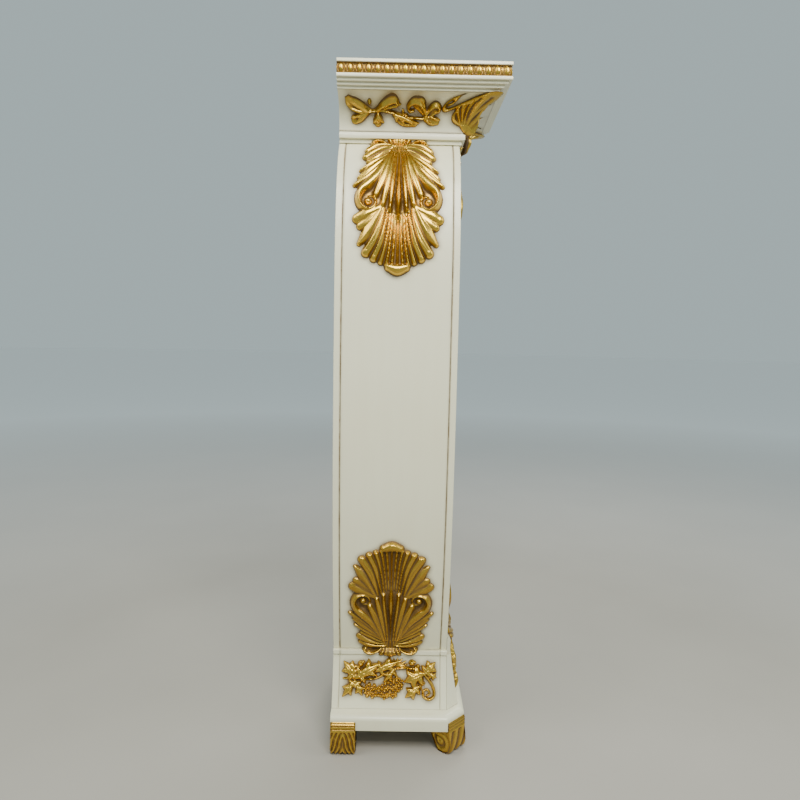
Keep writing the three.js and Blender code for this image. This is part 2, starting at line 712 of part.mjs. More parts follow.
// Crests of one half of the leaf as points [across, distance from the root, rise], from the root
// to the tip; the last crest of a fan lies on the middle line.
const UPPER_CRESTS = [
  [[8, 20, 10], [26, 20, 12], [44, 23, 12], [64, 31, 6]],
  [[9, 24, 10], [28, 29, 13], [47, 36, 12], [68, 46, 6]],
  [[10, 28, 10], [26, 37, 12], [42, 47, 11], [61, 57, 6]],
  [[11, 33, 10], [30, 48, 12], [50, 61, 11], [73, 74, 6]],
  [[12, 37, 10], [32, 56, 12], [54, 73, 11], [76, 89, 6]],
  [[14, 41, 10], [35, 64, 12], [58, 85, 11], [83, 103, 6]],
  [[15, 38, 11], [36, 76, 16], [66, 112, 18], [60, 150, 15]],
  [[13, 34, 11], [20, 62, 14], [30, 94, 15], [42, 136, 14]],
  [[9, 34, 11], [14, 68, 15], [21, 106, 17], [29, 145, 13]],
  [[5, 34, 12], [8, 72, 15], [12, 112, 18], [16, 153, 14]],
  [[0, 32, 13], [0, 80, 17], [0, 130, 20], [0, 169, 15]],
];
const LOWER_CRESTS = [
  [[28, 140, 10], [44, 150, 11], [60, 157, 11], [83, 166, 6]],
  [[28, 146, 9], [44, 161, 10], [58, 172, 9], [76, 184, 5]],
  [[26, 143, 10], [37, 166, 12], [52, 191, 12], [72, 215, 6]],
  [[21, 145, 10], [26, 174, 12], [39, 204, 12], [61, 233, 6]],
  [[16, 150, 10], [19, 182, 12], [28, 213, 12], [47, 245, 6]],
  [[11, 155, 10], [13, 186, 13], [20, 218, 13], [34, 250, 7]],
  [[6, 160, 11], [8, 195, 14], [13, 224, 14], [22, 257, 7]],
  [[0, 160, 11], [0, 200, 15], [0, 226, 15], [0, 266, 8]],
];
// How far the outer edge of a fan's first crest lies outside it at the root and at the tip.
const FAN_EDGE = [2, 9];
// The tongue under the root with a volute on each side: [across, near edge, far edge, rise].
const ROOT_COLUMNS = [[-52, 6, 15, 5], [-40, 2, 18, 10], [-15, 1, 30, 8], [0, 1, 39, 11]];

// The crest as a smooth curve, cut into even rows.
function crestRows(crest, rows) {
  const curve = new THREE.CatmullRomCurve3(crest.map((point) => new THREE.Vector3(...point)));
  return curve.getPoints(rows).map((p) => [p.x, p.y, p.z]);
}

// The hollow between two crests: halfway, lower, and shorter at the tip so that the tips stand apart.
function valley(crest, next) {
  const middle = crest.map((point, row) => point.map((value, axis) => (value + next[row][axis]) / 2));
  const [before, tip] = middle.slice(-2);
  middle[middle.length - 1] = [
    tip[0] + (before[0] - tip[0]) * VALLEY_BACK,
    tip[1] + (before[1] - tip[1]) * VALLEY_BACK,
    tip[2],
  ];
  return middle.map(([across, down, rise]) => [across, down, rise * VALLEY_SHARE]);
}

function mirrored([across, down, rise]) {
  return [-across, down, rise];
}

// The columns of a whole fan: an edge, crests and the valleys between them, and the same mirrored.
function fanColumns(crests) {
  const rows = crests.map((crest) => crestRows(crest, LEAF_ROWS));
  const [first] = rows;
  const edge = first.map(([across, down], row) => {
    const away = FAN_EDGE[0] + (FAN_EDGE[1] - FAN_EDGE[0]) * row / LEAF_ROWS;
    return [across, down - away, CARVING_EDGE];
  });
  const half = [edge];
  rows.forEach((crest, i) => {
    half.push(crest);
    if (i < rows.length - 1) half.push(valley(crest, rows[i + 1]));
  });
  return [...half, ...half.slice(0, -1).toReversed().map((column) => column.map(mirrored))];
}

// The columns of the root, the same mirrored.
function rootColumns() {
  const half = ROOT_COLUMNS.map(([across, near, far, rise]) => [[across, near, rise], [across, far, rise]]);
  return [...half, ...half.slice(0, -1).toReversed().map((column) => column.map(mirrored))];
}

// The whole leaf as one body, laid out by `place` and cut back to the faces that carry it.
function leaf(place, carriers) {
  const sheets = [fanColumns(UPPER_CRESTS), fanColumns(LOWER_CRESTS), rootColumns()];
  let body;
  for (const columns of sheets) {
    const seat = columns.map((column) => column.map(([across, down]) => place(across, down, -CUT_DEPTH)));
    const face = columns.map((column) => column.map(([across, down, rise]) => place(across, down, rise)));
    const solid = toSolid(reliefSolid(seat, face));
    body = body ? body.add(solid) : solid;
  }
  const carved = outerShell(body.subtract(toSolid(carriers)).simplify(LEAF_TOLERANCE));
  return toGeometry(outerShell(toSolid(toGeometry(carved))));
}

// Sheets that cross can leave a splinter beside them; the largest shell is the leaf.
function outerShell(solid) {
  return solid.decompose().reduce((best, shell) => (shell.volume() > best.volume() ? shell : best));
}

// From 0 to 1 with level ends.
function softStep(x) {
  const t = Math.min(1, Math.max(0, x));
  return t * t * (3 - 2 * t);
}

// How much of a step a leaf's ground has taken at a height `past` it.
function stepTaken(past) {
  return softStep(past / STEP_EASE + STEP_LEAD);
}

// Slope of the bow, upright at the ledge and at the neck band.
function shaftSlope(z) {
  const fade = softStep((z - FLARE_TOP) / LEVEL_EASE + 1) * softStep((SHAFT_TOP - z) / LEVEL_EASE);
  return fade > 0 ? slopeOf(bow, z) * fade : 0;
}

// A prism from a ring of points [out, height], for all depths on a side or all widths on a front.
function prism(ring, toPoint) {
  const ends = [-OVERHANG * 2, OVERHANG * 2].map((along) => ring.map(([out, z]) => toPoint(out, z, along)));
  return loft(ends, ring);
}

function addShaftCarvings() {
  const band = NECK_WIDTH / 2 + NECK_BAND_PROJECTION;
  const ledge = WAIST_WIDTH / 2 + LEDGE_PROJECTION;
  const above = SHAFT_BOTTOM + GLUE_GAP;
  const below = SHAFT_TOP - GLUE_GAP;
  const far = BELLY_WIDTH;
  const levels = shaftLevels.filter((z) => z > above && z < below);
  const sideRing = [
    [0, PLINTH_TOP], [ledge + GLUE_GAP, PLINTH_TOP], [ledge + GLUE_GAP, above],
    ...[above, ...levels, below].map((z) => [facetHalf(z) + GLUE_GAP, z]),
    [band + GLUE_GAP, below], [band + GLUE_GAP, ACANTHUS_HIGH], [far, ACANTHUS_HIGH], [far, TOP], [0, TOP],
  ];
  const frontRing = [
    [-BOARD_THICKNESS, PLINTH_TOP],
    ...flareLevels.map((z) => [frontFlare(z) + GLUE_GAP, z === FLARE_TOP ? z + GLUE_GAP : z]),
    [GLUE_GAP, FLARE_TOP + GLUE_GAP], [GLUE_GAP, below],
    [NECK_BAND_PROJECTION + GLUE_GAP, below], [NECK_BAND_PROJECTION + GLUE_GAP, ACANTHUS_HIGH],
    [far, ACANTHUS_HIGH], [far, TOP], [-BOARD_THICKNESS, TOP],
  ];
  // The faces as the leaf follows them: eased over the ledge, the front block and the neck band.
  const onBand = (z) => NECK_BAND_PROJECTION * stepTaken(z - SHAFT_TOP);
  const half = (z) => (
    bow(Math.min(SHAFT_TOP, Math.max(SHAFT_BOTTOM, z))) + onBand(z)
      + LEDGE_PROJECTION * stepTaken(SHAFT_BOTTOM - z)
  );
  const out = (z) => onBand(z) + frontFlare(Math.max(PLINTH_TOP, z)) * stepTaken(FLARE_TOP - z);
  const scale = LEAF_LENGTH / LOWER_CRESTS.at(-1).at(-1)[1];
  const upper = (down) => ACANTHUS_HIGH - down * scale;
  const lower = (down) => SHELL_LOW + down * scale * SHELL_SHARE;
  for (const [name, height, share] of [['acanthus', upper, 1], ['shell', lower, SHELL_RELIEF_SHARE]]) {
    const lifted = (lift) => (lift > 0 ? lift * share : lift);
    for (const [side, word] of [[-1, 'left'], [1, 'right']]) {
      const place = (across, down, lift) => {
        const z = height(down);
        return onSide(side, half(z), across, z, lifted(lift), shaftSlope(z));
      };
      const carriers = prism(sideRing, (x, z, along) => new THREE.Vector3(side * x, AXIS_Y + along, z));
      addPiece(`${name}_${word}`, leaf(place, carriers), GILT);
    }
    const place = (across, down, lift) => {
      const z = height(down);
      return onFront(out(z), across, z, lifted(lift));
    };
    const carriers = prism(frontRing, (depth, z, along) => new THREE.Vector3(along, FRONT_Y - depth, z));
    addPiece(`${name}_front`, leaf(place, carriers), GILT);
  }
}

// A running scroll or plaque: columns along its length, each between a lower and an upper edge.
function runningCarving(columns, edges, rows, reliefAt, place) {
  const seat = [];
  const face = [];
  for (let i = 0; i <= columns; i++) {
    const share = i / columns;
    const [low, high] = edges(share);
    const levels = levelsBetween(low, high, rows);
    seat.push(levels.map((z) => place(share, z, 0)));
    face.push(levels.map((z, row) => {
      const across = row / rows;
      return place(share, z, Math.max(CARVING_EDGE * 0.7, reliefAt(share, across)));
    }));
  }
  return reliefSolid(seat, face);
}

// The leaf scroll: a wavy band with three leaves above and below it.
function scrollEdges(share) {
  const middle = (COVE_BOTTOM + COVE_TOP) / 2;
  const wave = Math.sin(share * Math.PI * 4) * SCROLL_HEIGHT * 0.12;
  const body = SCROLL_HEIGHT * (0.16 + 0.2 * Math.abs(Math.sin(share * Math.PI * 3)));
  return [middle + wave - body, middle + wave + body];
}

function coveProjection(z) {
  return along(coveCurve().map(([out, height]) => [height, out]), z);
}

function addScrolls() {
  const relief = (share, across) => {
    const swell = 0.7 + 0.3 * Math.cos(share * SCROLL_SWELLS);
    return SCROLL_RELIEF * Math.sin(Math.PI * across) * swell;
  };
  const start = BACK_Y - SCROLL_BACK_MARGIN;
  const slope = (z) => slopeOf(coveProjection, Math.min(z, COVE_TOP - COVE_LIP));
  for (const [side, word] of [[-1, 'left'], [1, 'right']]) {
    const place = (share, z, lift) => {
      const across = AXIS_Y - start + share * SCROLL_LENGTH;
      return onSide(side, NECK_WIDTH / 2 + coveProjection(z), across, z, lift, slope(z));
    };
    addPiece(`capital_scroll_${word}`, runningCarving(24, scrollEdges, 4, relief, place), GILT);
  }
  const place = (share, z, lift) => (
    onFront(coveProjection(z), (share - 0.5) * FRONT_SCROLL_LENGTH, z, lift, slope(z))
  );
  addPiece('capital_scroll_front', runningCarving(16, scrollEdges, 4, relief, place), GILT);
}

// The leaf that wraps a front corner of the capital: wide under the cornice, narrow at its foot.
function cornerLeaf(side) {
  const low = COVE_BOTTOM + 3;
  const high = COVE_TOP - 3;
  const seat = [];
  const face = [];
  const shares = [-1, -0.7, -0.35, 0, 0.35, 0.7, 1];
  for (const z of levelsBetween(low, high, 9)) {
    const share = (z - low) / (high - low);
    const out = coveProjection(z) + GLUE_GAP;
    const reach = CORNER_LEAF_FOOT_REACH + (CORNER_LEAF_REACH - CORNER_LEAF_FOOT_REACH) * share;
    const cornerX = NECK_WIDTH / 2 + out;
    const cornerY = FRONT_Y - out;
    const point = (across, lift) => {
      const length = Math.abs(across) * reach;
      if (across < 0) return new THREE.Vector3(side * (cornerX + lift), cornerY + length - lift, z);
      return new THREE.Vector3(side * (cornerX - length + lift), cornerY - lift, z);
    };
    const rise = CORNER_LEAF_RELIEF * 0.4 + CORNER_LEAF_LEAN * share ** 2;
    seat.push(shares.map((across) => point(across, 0)));
    face.push(shares.map((across) => {
      const edge = 1 - Math.abs(across);
      const lift = across === 0 ? rise : Math.max(CARVING_EDGE * 0.7, rise * Math.sqrt(edge));
      return point(across, lift);
    }));
  }
  return reliefSolid(seat, face);
}

// The vine plaque: a rectangle with leafy, uneven upper and lower edges.
function plaqueEdges(share) {
  const middle = PLINTH_TOP + BASE_HEIGHT * 0.54;
  const upper = PLAQUE_HEIGHT / 2 * (0.9 + 0.1 * Math.cos(share * Math.PI * 8));
  const lower = PLAQUE_HEIGHT / 2 * (0.88 + 0.12 * Math.cos(share * Math.PI * 6));
  return [middle - lower, middle + upper];
}

function addPlaques() {
  const relief = (share, across) => {
    const crown = Math.sqrt(Math.sin(Math.PI * across) * Math.sin(Math.PI * share));
    return PLAQUE_RELIEF * crown * (0.8 + 0.2 * Math.cos(share * PLAQUE_SWELLS));
  };
  for (const [side, word] of [[-1, 'left'], [1, 'right']]) {
    const place = (share, z, lift) => (
      onSide(side, baseFlareFacet(z), (share - 0.5) * PLAQUE_LENGTH, z, lift, slopeOf(baseFlare, z))
    );
    addPiece(`vine_plaque_${word}`, runningCarving(20, plaqueEdges, 5, relief, place), GILT);
  }
  const place = (share, z, lift) => (
    onFront(frontFlareFacet(z), (share - 0.5) * FRONT_PLAQUE_LENGTH, z, lift, slopeOf(frontFlare, z))
  );
  addPiece('vine_plaque_front', runningCarving(16, plaqueEdges, 5, relief, place), GILT);
}

// The flares as they are really faceted, so that what lies on them keeps its gap.
function baseFlareFacet(z) {
  return along(baseLevels.map((level) => [level, baseFlare(level)]), z);
}

function frontFlareFacet(z) {
  return along(flareLevels.map((level) => [level, frontFlare(level)]), z);
}

addShaft();
addFrontFlare();
addInside();
addCapital();
addPlinth();
addFeet();
addShaftCarvings();
addScrolls();
addPiece('corner_leaf_left', cornerLeaf(-1), GILT);
addPiece('corner_leaf_right', cornerLeaf(1), GILT);
addPlaques();

export default stand;
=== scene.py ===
"""Looks of a carved pedestal column: ivory lacquer, antique gold carvings and a plain studio.

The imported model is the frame; every piece here is worked out in millimetres in the same place and put into its mesh
in metres. Across a side face, `across` runs from the middle of the shaft towards the front."""

import json
import math

import bpy
import numpy as np
from mathutils import Matrix, Vector


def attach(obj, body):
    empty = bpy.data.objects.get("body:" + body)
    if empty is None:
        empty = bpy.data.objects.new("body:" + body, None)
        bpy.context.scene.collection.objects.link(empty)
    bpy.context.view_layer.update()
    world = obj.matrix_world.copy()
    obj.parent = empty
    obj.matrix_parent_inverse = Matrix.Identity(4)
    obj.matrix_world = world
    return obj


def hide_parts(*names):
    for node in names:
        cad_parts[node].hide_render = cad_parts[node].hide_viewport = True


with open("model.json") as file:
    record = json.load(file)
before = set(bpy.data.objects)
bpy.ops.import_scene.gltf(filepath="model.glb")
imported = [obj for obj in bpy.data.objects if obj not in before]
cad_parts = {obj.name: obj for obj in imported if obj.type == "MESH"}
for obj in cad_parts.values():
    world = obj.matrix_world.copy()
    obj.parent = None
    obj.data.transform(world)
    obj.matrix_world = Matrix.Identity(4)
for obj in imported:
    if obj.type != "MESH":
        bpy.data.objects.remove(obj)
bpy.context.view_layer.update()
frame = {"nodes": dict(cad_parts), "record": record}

bl_info = {
    "name": "Gilt Pedestal Column",
    "version": (1, 0, 0),
    "blender": (4, 5, 0),
    "location": "View3D > Sidebar > Pedestal",
    "description": "Builds the lacquered boards, mouldings and gilt carvings of a pedestal column",
    "category": "Add Mesh",
}

# ---- levels and planes of the stand, in millimetres ----

PLINTH_BOTTOM, PLINTH_TOP, LEDGE_BOTTOM, SHAFT_BOTTOM, SHAFT_TOP = 48, 78, 176, 185, 1177
NECK_BEAD_BOTTOM, NECK_FILLET_BOTTOM, COVE_BOTTOM, COVE_TOP = 1185, 1195, 1198, 1254
FASCIA_BOTTOM, EGG_BAND_BOTTOM, TOP_EDGE_BOTTOM, TOP = 1269, 1275, 1294, 1300
NECK_HALF, BELLY_HALF, WAIST_HALF, LEDGE_HALF, BASE_HEAD_HALF = 67, 151, 83, 91, 88
BELLY_SHARE, BASE_SPREAD = 0.627, 31
BACK_Y, FRONT_Y, AXIS_Y = 156.5, -71.5, 42.5
BOARD, PANEL, GAP = 13, 9, 0.3
OVERHANG, COVE_TOP_OUT, COVE_FOOT_OUT = 85, 64, 8
FLARE_TOP, FLARE_SHOULDER = 215, 203
PLINTH_HALF, PLINTH_DEPTH, PLINTH_CUT = 146, 264, 35
FOOT_WIDTH, BACK_FOOT, FRONT_FOOT = 50, 46, 72
SIDES, PLACES = ((-1, "left"), (1, "right")), ("left", "front", "right")


def unit(x):
    """The values held between 0 and 1."""
    return np.clip(x, 0, 1)


def bow(z):
    """Half width of the shaft: from the belly it falls by a power of the share of the way to the neck above and to
    the waist below."""
    belly = SHAFT_BOTTOM + BELLY_SHARE * (SHAFT_TOP - SHAFT_BOTTOM)
    z = np.clip(np.asarray(z, float), SHAFT_BOTTOM, SHAFT_TOP)
    up = unit((z - belly) / (SHAFT_TOP - belly))
    down = unit((belly - z) / (belly - SHAFT_BOTTOM))
    shoulder = NECK_HALF + (BELLY_HALF - NECK_HALF) * (1 - up ** 3.6) ** 0.76
    leg = WAIST_HALF + (BELLY_HALF - WAIST_HALF) * (1 - down ** 2.5) ** 0.95
    return np.where(z > belly, shoulder, leg)


def base_flare(z):
    """Half width of the base: it grows with the power 1.4 of the share of the way down to the plinth."""
    share = unit((LEDGE_BOTTOM - np.asarray(z, float)) / (LEDGE_BOTTOM - PLINTH_TOP))
    return BASE_HEAD_HALF + BASE_SPREAD * share ** 1.4


def front_flare(z):
    """How far the front block stands out: a bevel at its head, then a power of the share of the way down."""
    z = np.asarray(z, float)
    head = 1 + 7 * unit((FLARE_TOP - z) / (FLARE_TOP - FLARE_SHOULDER))
    share = unit((SHAFT_BOTTOM - z) / (SHAFT_BOTTOM - PLINTH_TOP))
    return np.where(z > SHAFT_BOTTOM, head, 8 + 16 * share ** 1.15)


def cove_out(z):
    """How far the cove stands out of the neck: a quarter circle of radius 56 hollowed from below."""
    turn = np.arcsin(unit((np.asarray(z, float) - COVE_BOTTOM) / (COVE_TOP - COVE_BOTTOM)))
    return COVE_TOP_OUT - (COVE_TOP_OUT - COVE_FOOT_OUT) * np.cos(turn)


# ---- what a user may change ----


class StandSizes(bpy.types.PropertyGroup):
    """Sizes of the fine work; the main sizes follow the frame."""

    carving_step: bpy.props.FloatProperty(
        name="Carving step", description="Grid step of the shaft carvings", default=0.001, min=0.0006,
        subtype="DISTANCE", unit="LENGTH")
    fine_step: bpy.props.FloatProperty(
        name="Fine step", description="Grid step of the scrolls, plaques and egg rows", default=0.0008, min=0.0005,
        subtype="DISTANCE", unit="LENGTH")
    panel_step: bpy.props.FloatProperty(
        name="Panel step", description="Grid step of the lacquered faces", default=0.003, min=0.0015,
        subtype="DISTANCE", unit="LENGTH")
    halo: bpy.props.FloatProperty(
        name="Halo", description="Width of the brown glaze sprayed round a carving", default=0.011, min=0.002,
        subtype="DISTANCE", unit="LENGTH")
    egg_pitch: bpy.props.FloatProperty(
        name="Egg pitch", description="Distance from egg to egg under the top board", default=0.0168, min=0.008,
        subtype="DISTANCE", unit="LENGTH")
    edge_round: bpy.props.FloatProperty(
        name="Edge rounding", description="Radius of the eased edges of boards and mouldings", default=0.0008,
        min=0.0002, subtype="DISTANCE", unit="LENGTH")


class StandFinish(bpy.types.PropertyGroup):
    """Colours and gloss of the lacquer and the gold."""

    ivory: bpy.props.FloatVectorProperty(
        name="Ivory", description="Colour of the lacquer", subtype="COLOR", size=3, min=0, max=1,
        default=(0.83, 0.80, 0.575))
    ivory_warm: bpy.props.FloatVectorProperty(
        name="Warm ivory", description="Colour of the lacquer where it has yellowed", subtype="COLOR", size=3,
        min=0, max=1, default=(0.77, 0.71, 0.49))
    # this brown is also painted as shade in the grooves and the inner corners
    glaze: bpy.props.FloatVectorProperty(
        name="Glaze", description="Brown glaze round the carvings and in the grooves", subtype="COLOR", size=3,
        min=0, max=1, default=(0.20, 0.12, 0.045))
    # strength of the brown glaze and of the painted shade in the grooves and inner corners
    glaze_strength: bpy.props.FloatProperty(
        name="Glaze strength", description="How dense the brown glaze is", default=0.85, min=0, max=1,
        subtype="FACTOR")
    lacquer_roughness: bpy.props.FloatProperty(
        name="Lacquer roughness", description="Roughness of the semi-gloss lacquer", default=0.34, min=0, max=1,
        subtype="FACTOR")
    gold: bpy.props.FloatVectorProperty(
        name="Gold", description="Colour of the gold leaf", subtype="COLOR", size=3, min=0, max=1,
        default=(0.70, 0.45, 0.066))
    # also the gold under painted shade in the hollows and on faces turned down
    gold_deep: bpy.props.FloatVectorProperty(
        name="Deep gold", description="Colour of the gold where it is toned down", subtype="COLOR", size=3, min=0,
        max=1, default=(0.42, 0.225, 0.032))
    # brown of the toning in the hollows, also painted as shade there
    toning_and_shade: bpy.props.FloatVectorProperty(
        name="Recess", description="Colour of the toning that lies in the hollows", subtype="COLOR", size=3, min=0,
        max=1, default=(0.13, 0.07, 0.02))
    gold_roughness: bpy.props.FloatProperty(
        name="Gold roughness", description="Roughness of the burnished gold", default=0.26, min=0, max=1,
        subtype="FACTOR")


class StandStage(bpy.types.PropertyGroup):
    """Floor, lights and camera."""

    floor: bpy.props.FloatVectorProperty(
        name="Floor", description="Colour of the plain floor", subtype="COLOR", size=3, min=0, max=1,
        default=(0.40, 0.37, 0.32))
    sky: bpy.props.FloatVectorProperty(
        name="Surroundings", description="Colour of the light that comes from all round", subtype="COLOR", size=3,
        min=0, max=1, default=(0.565, 0.69, 0.705))
    sky_strength: bpy.props.FloatProperty(
        name="Surroundings strength", description="Strength of the light from all round", default=0.74, min=0)
    key_power: bpy.props.FloatProperty(
        name="Key light", description="Power of the large light overhead", default=68, min=0, unit="POWER")
    lens: bpy.props.FloatProperty(
        name="Lens", description="Focal length of the camera in millimetres", default=29.7, min=10)


# ---- curves and carved fields ----


def smooth_path(rows, per=10):
    """A smooth curve through rows of numbers: each stretch is the cubic that leaves and meets the rows with half
    the step between their neighbours, and every column is blended alike."""
    rows = np.asarray(rows, float)
    if len(rows) == 1:
        return np.vstack([rows, rows + [1e-3, 0, 0, 0]])
    ends = np.vstack([2 * rows[0] - rows[1], rows, 2 * rows[-1] - rows[-2]])
    t = np.linspace(0, 1, per, endpoint=False)[None, :, None]
    a, b, c, d = (ends[i:len(ends) - 3 + i][:, None, :] for i in range(4))
    body = b + 0.5 * t * (c - a + t * (2 * a - 5 * b + 4 * c - d + t * (3 * (b - c) + d - a)))
    return np.vstack([body.reshape(-1, rows.shape[1]), rows[-1:]])


# height over a stroke's section, as a share of its lift at a share of its half width
PROFILES = {
    "rib": lambda s: 1 - 0.5 * s ** 2,
    "round": lambda s: np.sqrt(unit(1 - s ** 2)),
    "flat": lambda s: 1 - 0.12 * s ** 2,
    "ridge": lambda s: 1 - 0.62 * s,
}
FLOOR, WALL = -1.2, 2.2  # height where nothing is carved, slope of a stroke's wall
CUT_FLOOR, MARGIN = 1, 12  # a cut stays over this height, and a stroke is worked out this far round it


def nearest(u, v, path):
    """For each point the distance to the path, and the path's half width and lift at the nearest place. A stretch's
    nearest place is the foot of the perpendicular, held between its ends."""
    start, step = path[:-1], np.diff(path, axis=0)
    length = np.maximum(step[:, 0] ** 2 + step[:, 1] ** 2, 1e-9)
    du, dv = u[:, None] - start[:, 0], v[:, None] - start[:, 1]
    t = unit((du * step[:, 0] + dv * step[:, 1]) / length)
    gap = np.hypot(du - t * step[:, 0], dv - t * step[:, 1])
    near = np.arange(len(u)), np.argmin(gap, axis=1)
    row = start[near[1]] + t[near][:, None] * step[near[1]]
    return gap[near], np.maximum(row[:, 2], 0.2), row[:, 3]


def stroke(u, v, kind, rows):
    """Height of one carved stroke over the points (u, v). Rows are (u, v, half width, lift) along its spine. The
    height is lift times the profile of distance over width, and no higher than a wall of slope WALL that starts
    at the stroke's edge, so the height goes on falling below zero outside it."""
    gap, width, lift = nearest(u, v, smooth_path(rows))
    return np.minimum(lift * PROFILES[kind](np.minimum(gap / width, 1)), WALL * (width - gap))


def groove(u, v, rows):
    """Depth of a cut along a spine: lift times a bell curve of the distance over the width."""
    gap, width, lift = nearest(u, v, smooth_path(rows))
    return lift * np.exp(-(gap / width) ** 2)


def blurred(field, reach):
    """The field averaged twice over a square of the given reach in cells, by running sums."""
    for _ in range(2):
        for axis in (0, 1):
            wide = np.pad(field, [(reach + 1, reach) if a == axis else (0, 0) for a in (0, 1)], mode="edge")
            total = np.cumsum(wide, axis=axis)
            count = field.shape[axis]
            high = np.take(total, range(2 * reach + 1, 2 * reach + 1 + count), axis=axis)
            low = np.take(total, range(count), axis=axis)
            field = (high - low) / (2 * reach + 1)
    return field


class Relief:
    """A carved field: heights over a grid of u and v in millimetres, with its hollows and the halo round it. Strokes
    are laid in order, each over what is lower, and cuts take away from what lies there. A hollow is what is lower than
    the mean of its surroundings, near and wide, or low altogether, and gets toning and painted shade."""

    def __init__(self, low, high, strokes, step, mirrored=False, halo=9.0):
        u = np.arange(0 if mirrored else low[0], high[0] + step, step)
        v = np.arange(low[1], high[1] + step, step)
        grid_u, grid_v = np.meshgrid(u, v, indexing="ij")
        flat_u, flat_v = grid_u.ravel(), grid_v.ravel()
        height = np.full(flat_u.shape, FLOOR)
        for kind, rows in strokes:
            rows = np.asarray(rows, float)
            reach = rows[:, 2].max() + MARGIN
            (low_u, low_v), (high_u, high_v) = rows[:, :2].min(axis=0) - reach, rows[:, :2].max(axis=0) + reach
            near = (flat_u > low_u) & (flat_u < high_u) & (flat_v > low_v) & (flat_v < high_v)
            if not near.any():
                continue
            if kind == "cut":
                depth = groove(flat_u[near], flat_v[near], rows)
                lowered = np.maximum(height[near] - depth, CUT_FLOOR)
                height[near] = np.where(height[near] > CUT_FLOOR, lowered, height[near])
            else:
                height[near] = np.maximum(height[near], stroke(flat_u[near], flat_v[near], kind, rows))
        height = height.reshape(grid_u.shape)
        if mirrored:
            height = np.vstack([height[:0:-1], height])
            u = np.concatenate([-u[:0:-1], u])
        self.u, self.v, self.step = u, v, step
        self.height = blurred(height, 1) * 0.6 + height * 0.4
        # darkening of the hollows: the toning that lies in them and painted shade where less light reaches
        solid = np.maximum(self.height, 0)
        near_dip, wide_dip = (blurred(solid, round(reach / step)) - solid for reach in (2.2, 6))
        dip = 0.3 * near_dip + 0.14 * wide_dip
        low_edge = unit(1 - self.height / 3)
        self.toning_and_shade = unit(0.25 + dip + 0.5 * low_edge)
        shade = blurred((self.height > 0).astype(float), round(halo / 2 / step))
        self.halo = unit(shade * 1.8)

    def sample(self, field, u, v):
        """The field at (u, v), straight between grid points, and zero outside the grid."""
        x, y = (u - self.u[0]) / self.step, (v - self.v[0]) / self.step
        inside = (x >= 0) & (y >= 0) & (x < len(self.u) - 1) & (y < len(self.v) - 1)
        i = np.clip(x, 0, len(self.u) - 2).astype(int)
        j = np.clip(y, 0, len(self.v) - 2).astype(int)
        s, t = unit(x - i), unit(y - j)
        low = field[i, j] * (1 - s) + field[i + 1, j] * s
        high = field[i, j + 1] * (1 - s) + field[i + 1, j + 1] * s
        return np.where(inside, low * (1 - t) + high * t, 0)


# ---- the carvings, as strokes ----


def tapered(points, widths, lifts):
    """Rows of (u, v, half width, lift): widths and lifts are spread evenly over the points."""
    share = np.linspace(0, 1, len(points))
    return [
        (u, v, np.interp(s, np.linspace(0, 1, len(widths)), widths), np.interp(s, np.linspace(0, 1, len(lifts)), lifts))
        for (u, v), s in zip(points, share)
    ]


def laid(rows):
    """Strokes from rows of (kind, points, half widths, lifts)."""
    return [(kind, tapered(points, widths, lifts)) for kind, points, widths, lifts in rows]


